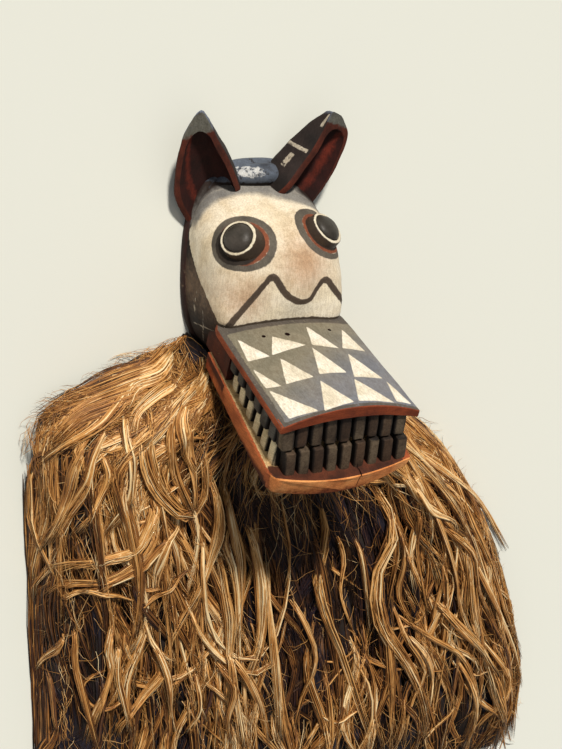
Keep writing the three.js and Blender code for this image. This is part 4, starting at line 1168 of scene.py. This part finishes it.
def layHairs(group, kind, s, t, veer=0.0):  # single wandering fibres from the places s, t
    _, scatter, (shortest, longer), curls, (middling, toneScatter), (arch, power), thin, crinkle = hairs[kind]
    count, steps = len(s), np.linspace(0, 1, hairPoints)[None]
    starts = capePoint(s, t)
    heading = flow(s, t) + scatter * rng.normal(size=count) + veer
    hop = (shortest + longer * rng.random(count))[:, None] / (hairPoints - 1)
    curl = np.where(t > 0.5, curls[1], curls[0]) * rng.normal(size=count)
    tone = np.clip(middling + toneScatter * rng.normal(size=count), 0, 1)
    lift = 1 + arch * rng.random(count) ** power if arch else np.zeros(count)
    waver = rng.random(count)[:, None] + steps * (1 + 2 * rng.random(count)[:, None])
    bend = curl[:, None] * steps + crinkle * np.sin(2 * math.pi * waver)
    angle = heading[:, None] + bend
    hops = np.stack([np.cumsum(np.cos(angle) * hop, 1), np.cumsum(np.sin(angle) * hop, 1)], -1)
    xy = starts[:, None] + hops
    inside = insidePolygon(xy.reshape(-1, 2), capeEdge).reshape(count, hairPoints).min(1)
    inReach = inside > np.where(starts[:, 0] < 100, -hairReach[0], -hairReach[1])
    z = settle(heapAt(xy), 1) + 1.5 + np.sin(math.pi * steps) * lift[:, None]
    points = keepClear(np.concatenate([xy, z[..., None]], -1))
    wide = thin * (0.7 + 0.6 * rng.random(count))
    keep(group, points[inReach], wide[inReach], thin * 0.8, tone[inReach], 0.0)


def streamPath(s0, s1, t0, sway, turns, phase, drift=0.0):
    q = np.linspace(0, 1, 7)
    t = t0 + sway * np.sin(math.pi * turns * q + phase) - sway * math.sin(phase) + drift * q
    return capePoint(s0 + (s1 - s0) * q, np.clip(t, 0.004, 0.996))


def layDarkFibres():
    for _ in range(hanks["deep"]):  # dark fine fibres that lie deepest, dark also as painted shade between the hanks
        s0, t0 = rng.random() ** 0.8 * 0.75, 0.01 + 0.98 * rng.random()
        s1 = min(0.99, s0 + 0.2 + 0.3 * rng.random())
        path = streamPath(s0, s1, t0, 0.012, 1 + 2 * rng.random(), 6.28 * rng.random())
        layHank("deepFibres", path, 8 + 6 * rng.random(), 1.5, 14, 0.22, 0.35 + 0.3 * rng.random(), fuzz=1.6)
    laid = 0
    while laid < hanks["indigo"]:   # indigo and brown fibres in the patches where the golden hanks part, dyed fibre and in places painted shadow
        x, y, rx, ry, _ = cape["darkPatches"][int(rng.integers(len(cape["darkPatches"])))]
        x, y = x + rx * rng.uniform(-1, 1), y + ry * rng.uniform(-1, 1)
        heading = math.atan2(y + 20, x * 0.45) + 0.35 * rng.normal()
        long = 60 + 90 * rng.random()
        q = np.linspace(-0.5, 0.5, 5)
        bend = 0.25 * rng.normal()
        path = np.stack([x + long * q * math.cos(heading) - bend * long * (q * q) * math.sin(heading),
                         y + long * q * math.sin(heading) + bend * long * (q * q) * math.cos(heading)], -1)
        clear = path[:, 1].max() < -70 and insidePolygon(path, capeEdge).min() > 6
        if clear and darkness(np.array([x, y])) > 0.3:
            layHank("deepFibres", path, 7 + 6 * rng.random(), 1.5, 12, 0.2 + 0.1 * rng.random(), 0.8, fuzz=2.2,
                    fine=True, splay=0.8)
            laid += 1


def layGoldenHanks():  # they cover the heap from collar to hem, the widest ones deepest
    for layer, (wanted, widest, tone) in enumerate(hanks["golden"]):
        laid = 0
        while laid < wanted:
            s0, t0 = rng.random() ** 1.1 * 0.8 + 0.01, 0.02 + 0.96 * rng.random()
            s1 = min(0.995, s0 + 0.16 + 0.3 * rng.random())
            sway = 0.007 + (0.014 + 0.01 * layer) * rng.random()
            turns, phase = 0.8 + 1.8 * rng.random(), 6.28 * rng.random()
            path = streamPath(s0, s1, t0, sway, turns, phase, 0.045 * rng.normal())
            dark = darkness(along(path, np.linspace(0, 1, 12))).max()
            if rng.random() < dark * (0.98 if layer else 0.93):
                continue
            wide = widest * (0.45 + 0.55 * rng.random())
            # golden hanks are darker in these patches, as dye and painted shadow
            shade = tone + 0.12 * rng.normal() - 0.2 * dark
            dye = 0.4 if layer == 0 and rng.random() < 0.3 else 0
            layHank("goldenHanks", path, wide, 2.2 + 0.85 * wide, int(9 + 3.5 * wide), shade, dye,
                    twist=0.5 * rng.random(), fuzz=0.4 + 1.3 * rng.random() ** 3)
            laid += 1


def layEdgeHanks():
    for _ in range(hanks["flank"]):   # hanks that hang down both flanks to the ground
        left = rng.random() < 0.62
        s0, t0 = 0.75 * rng.random(), 0.004 + 0.016 * rng.random() if left else 0.982 + 0.014 * rng.random()
        t0, lowest = (t0 + 0.014 * left, 0.75) if s0 < 0.28 else (t0, 0.12)
        s1 = min(0.99, s0 + 0.2 + 0.2 * rng.random())
        path = streamPath(s0, s1, t0, 0.002, 1.5, 6.28 * rng.random())
        wide = 3.5 + 2.5 * rng.random()
        tone = (0.5 if s0 < 0.3 else 0.38) + 0.1 * rng.normal()
        layHank("goldenHanks", path, wide, 1.9, 18, tone, fuzz=0.8, sink=lowest + (1 - lowest) * rng.random())
    for _ in range(hanks["edge"]):    # hanks that finish the two side edges
        left = rng.random() < 0.45
        s0, t0 = (0.22 if left else 0.62) * rng.random(), (0.016 if left else 0.955) + 0.03 * rng.random()
        s1 = min(0.99, s0 + 0.2 + 0.2 * rng.random())
        path = streamPath(s0, s1, t0, 0.003, 1.5, 6.28 * rng.random())
        layHank("goldenHanks", path, 4 + 3 * rng.random(), 4.5, 24, 0.46 + 0.1 * rng.normal(), fuzz=0.8)


def layTangledHanks():
    laid = 0
    while laid < hanks["tangled"]:    # they cross the others
        s0, t0 = 0.06 + 0.72 * rng.random(), 0.05 + 0.9 * rng.random()
        heading, long = float(flow(s0, t0)) + 0.36 * rng.normal(), 120 + 120 * rng.random()
        bend = 1.5 * rng.normal() - (0.9 if t0 < 0.35 else -0.3)
        turn = heading + bend * np.linspace(0, 1, 8)
        path = capePoint(s0, t0) + np.cumsum(np.stack([np.cos(turn), np.sin(turn)], -1) * long / 8, 0)
        if rng.random() < darkness(path).max() * 0.9 or insidePolygon(path, capeEdge).min() < 8:
            continue
        wide = 1.4 + 2.4 * rng.random()
        layHank("crossingHanks", path, wide, 2.2 + 0.6 * wide, int(8 + 4 * wide), 0.6 + 0.12 * rng.normal(),
                fuzz=0.5, splay=0.4)
        laid += 1
    for halfWidth, tone, path in hankTable:    # the hanks that show best lie on top
        layHank("looseHanks", path, halfWidth * 1.2, 3.5 + halfWidth, int(11 + 6.5 * halfWidth),
                0.08 + 0.88 * tone, 0.3 if tone < 0.38 else 0, fuzz=0.35, lift=3.0, splay=0.3)


def layLooseHairs():
    def scattered(kind, s0, more, t0, moreT):
        many = hairs[kind][0]
        return s0 + more * rng.random(many), t0 + moreT * rng.random(many)
    layHairs("shoulderTow", "tow", *scattered("tow", 0.03, 0.2, 0.07, 0.17))        # matted beside the mask
    layHairs("strayFibres", "stray", *scattered("stray", 0.05, 0.93, 0.03, 0.94))
    many = hairs["edge"][0]
    rng.random(2 * many)                            # passed over, so that the next draws stay as they are
    right = rng.random(many) < 0.75
    t = np.where(right, 0.94 + 0.05 * rng.random(many), 0.015 + 0.04 * rng.random(many))
    layHairs("edgeFibres", "edge", 0.12 + 0.8 * rng.random(many) ** 0.7, t)
    layHairs("shoulderTow", "fluff", *scattered("fluff", 0.01, 0.3, 0.004, 0.022), veer=-0.15)
    s, t = scattered("combed", 0.03, 0.9, 0.02, 0.96)
    lit = darkness(capePoint(s, t)) < 0.15 + 0.2 * rng.random(len(s))
    layHairs("combedFibres", "combed", s[lit], t[lit])                             # combed over the hanks
    layHairs("hemFibres", "hem", *scattered("hem", 0.9, 0.085, 0.01, 0.98))         # frayed ends


def weaveMesh(name, strands, material):  # every strand as a closed tapered tube of three sides
    points, wide, thick, tone, dye = strands
    count, n = points.shape[:2]
    way = np.gradient(points, axis=1)
    way /= np.maximum(np.linalg.norm(way, axis=2)[..., None], 1e-9)
    side = np.cross(way, (0, 0, 1.0))
    side /= np.maximum(np.linalg.norm(side, axis=2)[..., None], 1e-9)
    top = np.cross(side, way)
    turned, twisted = rng.normal(size=count) * 0.4, rng.normal(size=count) * 0.8
    roll = turned[:, None] + np.linspace(0, 1, n)[None] * twisted[:, None]
    side, top = (side * np.cos(roll)[..., None] + top * np.sin(roll)[..., None],
                 top * np.cos(roll)[..., None] - side * np.sin(roll)[..., None])
    taper = np.interp(np.linspace(0, 1, n), [0, 0.12, 0.7, 1], [0.5, 1, 0.9, 0.16])[None, :, None]
    w, h = wide[:, None, None] * taper, thick[:, None, None] * taper
    foot = top * h * 0.5
    ring = np.stack([points - side * w - foot, points + side * w - foot, points + top * h], 2)
    mesh = bpy.data.meshes.new(name)
    mesh.vertices.add(count * n * 3)
    mesh.vertices.foreach_set("co", toPart(ring).reshape(-1))
    base = (np.arange(count) * n * 3)[:, None, None] + (np.arange(n - 1) * 3)[None, :, None]
    k = np.arange(3)[None, None]
    nextK = (k + 1) % 3
    quads = np.stack([base + k, base + nextK, base + nextK + 3, base + k + 3], -1).reshape(-1, 4)
    first = (np.arange(count) * n * 3)[:, None]
    ends = np.concatenate([first + [2, 1, 0], first + (n - 1) * 3 + [0, 1, 2]])
    loops = np.concatenate([quads.reshape(-1), ends.reshape(-1)])
    mesh.loops.add(len(loops))
    mesh.loops.foreach_set("vertex_index", loops.astype(np.int32))
    mesh.polygons.add(len(quads) + len(ends))
    starts = np.concatenate([np.arange(len(quads)) * 4, len(quads) * 4 + np.arange(len(ends)) * 3])
    mesh.polygons.foreach_set("loop_start", starts.astype(np.int32))
    mesh.update(calc_edges=True)
    mesh.validate()
    mesh.polygons.foreach_set("use_smooth", np.ones(len(mesh.polygons), bool))
    piece = bpy.data.objects.new(name, mesh)
    bpy.context.collection.objects.link(piece)
    setValues(piece, "tone", np.repeat(tone, n * 3))
    setValues(piece, "dye", np.repeat(dye, n * 3))
    lengths = np.cumsum(np.linalg.norm(np.diff(points, axis=1), axis=2), 1)
    steps = np.concatenate([np.zeros((count, 1)), lengths], 1)
    strandPlace = (np.array([-1.0, 1.0, 0.0]) * wide[:, None, None], steps[..., None],
                   (np.arange(count) * 7.31)[:, None, None])      # across, along and apart from the others
    lay = np.stack([np.broadcast_to(axis, (count, n, 3)) for axis in strandPlace], -1)
    layValues = mesh.attributes.new("lay", "FLOAT_VECTOR", "POINT").data
    layValues.foreach_set("vector", lay.reshape(-1).astype(np.float32))
    mesh.materials.append(material)
    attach(piece, "root")
    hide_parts("fibre_cape")
    return len(quads) * 2 + len(ends)


bast = {"streakAcross": 0.7, "streakAlong": 24, "hankPatch": 60, "streaky": 0.7, "patchy": 0.5, "bump": 0.0005}


def bastFibre():  # dry bast beaten from bark: straw gold, brown streaks along each strip, a soft silky gloss
    material, add, shader = newMaterial("dry golden bast fibre")
    tone, dye = (add("Attribute", {}, "Fac", attribute_name=name) for name in ("tone", "dye"))
    lay = add("Attribute", {}, "Vector", attribute_name="lay")
    place = add("TexCoord", {}, "Object")
    streakScale = (1 / bast["streakAcross"], 1 / bast["streakAlong"], 1)
    streakPlace = add("Mapping", {"Vector": lay, "Scale": streakScale})
    streak = add("TexNoise", {"Vector": streakPlace, "Scale": 1.0, "Detail": 3.0, "Roughness": 0.6})
    broad = add("TexNoise", {"Vector": place, "Scale": 1000 / bast["hankPatch"], "Detail": 3, "Roughness": 0.5,
                             "Distortion": 0.0})                       # whole hanks weathered darker or paler
    value = tone
    for pattern, share in ((streak, bast["streaky"]), (broad, bast["patchy"])):
        change = add("Math", {0: pattern, 1: 0.5}, operation="SUBTRACT")
        value = add("Math", {0: change, 1: share, 2: value}, operation="MULTIPLY_ADD")
    ramp = add("ValToRGB", {"Fac": value}, "Color")
    stops = ramp.node.color_ramp.elements
    stops[0].position, stops[0].color = 0.06, hexColour("#20120a")
    stops[1].position, stops[1].color = 1.0, hexColour("#fbe2b1")
    for at, code in ((0.29, "#5c3719"), (0.52, "#a56e35"), (0.76, "#dfa963")):
        stops.new(at).color = hexColour(code)
    patches = add("MapRange", span(broad, 0.4, 0.6), **softRange)
    indigo = add("Mix", colours(patches, "#1b1526", "#25160f"), 2, **colourMix)
    dyed = add("Math", {0: dye, 1: 0.92}, operation="MULTIPLY")
    colour = add("Mix", colours(dyed, ramp, indigo), 2, **colourMix)
    bump = add("Bump", {"Strength": 0.5, "Distance": bast["bump"], "Height": streak})
    setInputs(shader, {"Base Color": colour, "Roughness": 0.5, "Specular IOR Level": 0.4, "Normal": bump})
    return material


def mattedCore():  # knotted net and matted fibre that the hanks hang from, near black also as painted shade in the gaps between them
    material, add, shader = newMaterial("matted dark bast and net")
    place = add("TexCoord", {}, "Object")
    run = add("Mapping", {"Vector": place, "Scale": (1, 0.09, 1)})
    strands = add("TexNoise", {"Vector": run, "Scale": 1000 / 2.2, "Detail": 4, "Roughness": 0.65,
                               "Distortion": 0.6})
    broad = add("TexNoise", {"Vector": place, "Scale": 1000 / 45, "Detail": 3, "Roughness": 0.5})
    colour = add("Mix", colours(strands, "#120c0a", "#2c1d12"), 2, **colourMix)
    patches = add("MapRange", span(broad, 0.45, 0.6), **softRange)
    colour = add("Mix", colours(patches, colour, "#1f1826"), 2, **colourMix)
    bump = add("Bump", {"Strength": 0.8, "Distance": 0.003, "Height": strands})
    setInputs(shader, {"Base Color": colour, "Roughness": 0.85, "Normal": bump})
    return material


core = {"rows": 80, "across": 96, "hem": 0.985, "leftEdge": 0.024, "shoulderEdge": 0.036, "rightEdge": 0.974,
        "sunk": 2, "underside": 0.6}


def makeCore():  # the dark matted heap under the hanks; its dark colour is also painted shade between them
    rings = []
    for s in np.linspace(0.0, core["hem"], core["rows"]):
        left = core["leftEdge"] + (core["shoulderEdge"] - core["leftEdge"]) * smooth(0.42, 0.3, s)
        xy = capePoint(np.full(core["across"], s), np.linspace(left, core["rightEdge"], core["across"]))
        top = keepClear(np.column_stack([xy, np.maximum(4, heapAt(xy) - core["sunk"])]))
        bottom = top[::-1].copy()
        bottom[:, 2] = core["underside"]
        rings.append(np.concatenate([top, bottom]))
    piece = skin("mattedCore", np.array(rings), [mattedCore()])
    piece.data.polygons.foreach_set("use_smooth", np.ones(len(piece.data.polygons), bool))
    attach(piece, "root")
    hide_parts("fibre_cape")


startHeap()
makeCore()
layDarkFibres()
layGoldenHanks()
layEdgeHanks()
layTangledHanks()
print("hanks laid")
layLooseHairs()
bastMaterial, triangleCount, most = bastFibre(), 0, cape["pieceStrands"]
for group, bunch in bunches.items():
    merged = [np.concatenate([b[k] for b in bunch]) for k in range(5)]
    depth = np.sort(heapAt(merged[0][..., :2]) - merged[0][..., 2], 1)[:, 1]
    merged = [m[depth < cape["buried"]] for m in merged]            # buried strands are left out
    for number, begin in enumerate(range(0, len(merged[0]), most)):
        strands = [m[begin:begin + most] for m in merged]
        triangleCount += weaveMesh(f"{group}{number + 1}", strands, bastMaterial)
print("fibres", triangleCount, "triangles")


# Floor, light and camera

studio = {"floor": "#E5E7DE", "sun": (-0.08, 0.75, 0.66), "sunPower": 3.85, "sunAngle": 6,
          "sunColour": (1.0, 0.94, 0.85), "sky": 0.27, "skyColour": (0.93, 0.96, 1, 1),
          "lens": 66.57, "place": (-0.9507, 0.7913, 1.6310),
          "right": (0.885, 0.0595, 0.461), "up": (0.096, 0.9476, -0.3046), "back": (-0.455, 0.314, 0.834)}
bpy.ops.object.select_all(action="DESELECT")
bpy.ops.mesh.primitive_plane_add(size=30, location=(0, 0, 0))
floor = bpy.context.object
floor.name = "floor"
paper, _, shader = newMaterial("matt pale studio paper")
setInputs(shader, {"Base Color": studio["floor"], "Roughness": 0.95})
dress(floor, [paper])
sunWay = Vector(studio["sun"]).normalized()
sun = bpy.data.lights.new("softSun", "SUN")
sun.energy, sun.angle, sun.color = studio["sunPower"], math.radians(studio["sunAngle"]), studio["sunColour"]
lamp = bpy.data.objects.new("softSun", sun)
bpy.context.collection.objects.link(lamp)
lamp.location, lamp.rotation_euler = sunWay * 3, sunWay.to_track_quat("Z", "Y").to_euler()
sky = bpy.data.worlds.new("paleStudio")
bpy.context.scene.world = sky
sky.use_nodes = True
setInputs(sky.node_tree.nodes["Background"], {"Color": studio["skyColour"], "Strength": studio["sky"]})
lens = bpy.data.cameras.new("view")
camera = bpy.data.objects.new("view", lens)
bpy.context.collection.objects.link(camera)
turn = Matrix([studio[axis] for axis in ("right", "up", "back")]).transposed()
camera.matrix_world = Matrix.Translation(studio["place"]) @ turn.to_4x4()
lens.lens, lens.sensor_width, lens.sensor_fit = studio["lens"], 36, "AUTO"
bpy.context.scene.camera = camera
bpy.context.scene.view_settings.view_transform = "Standard"
bpy.ops.object.select_all(action="DESELECT")
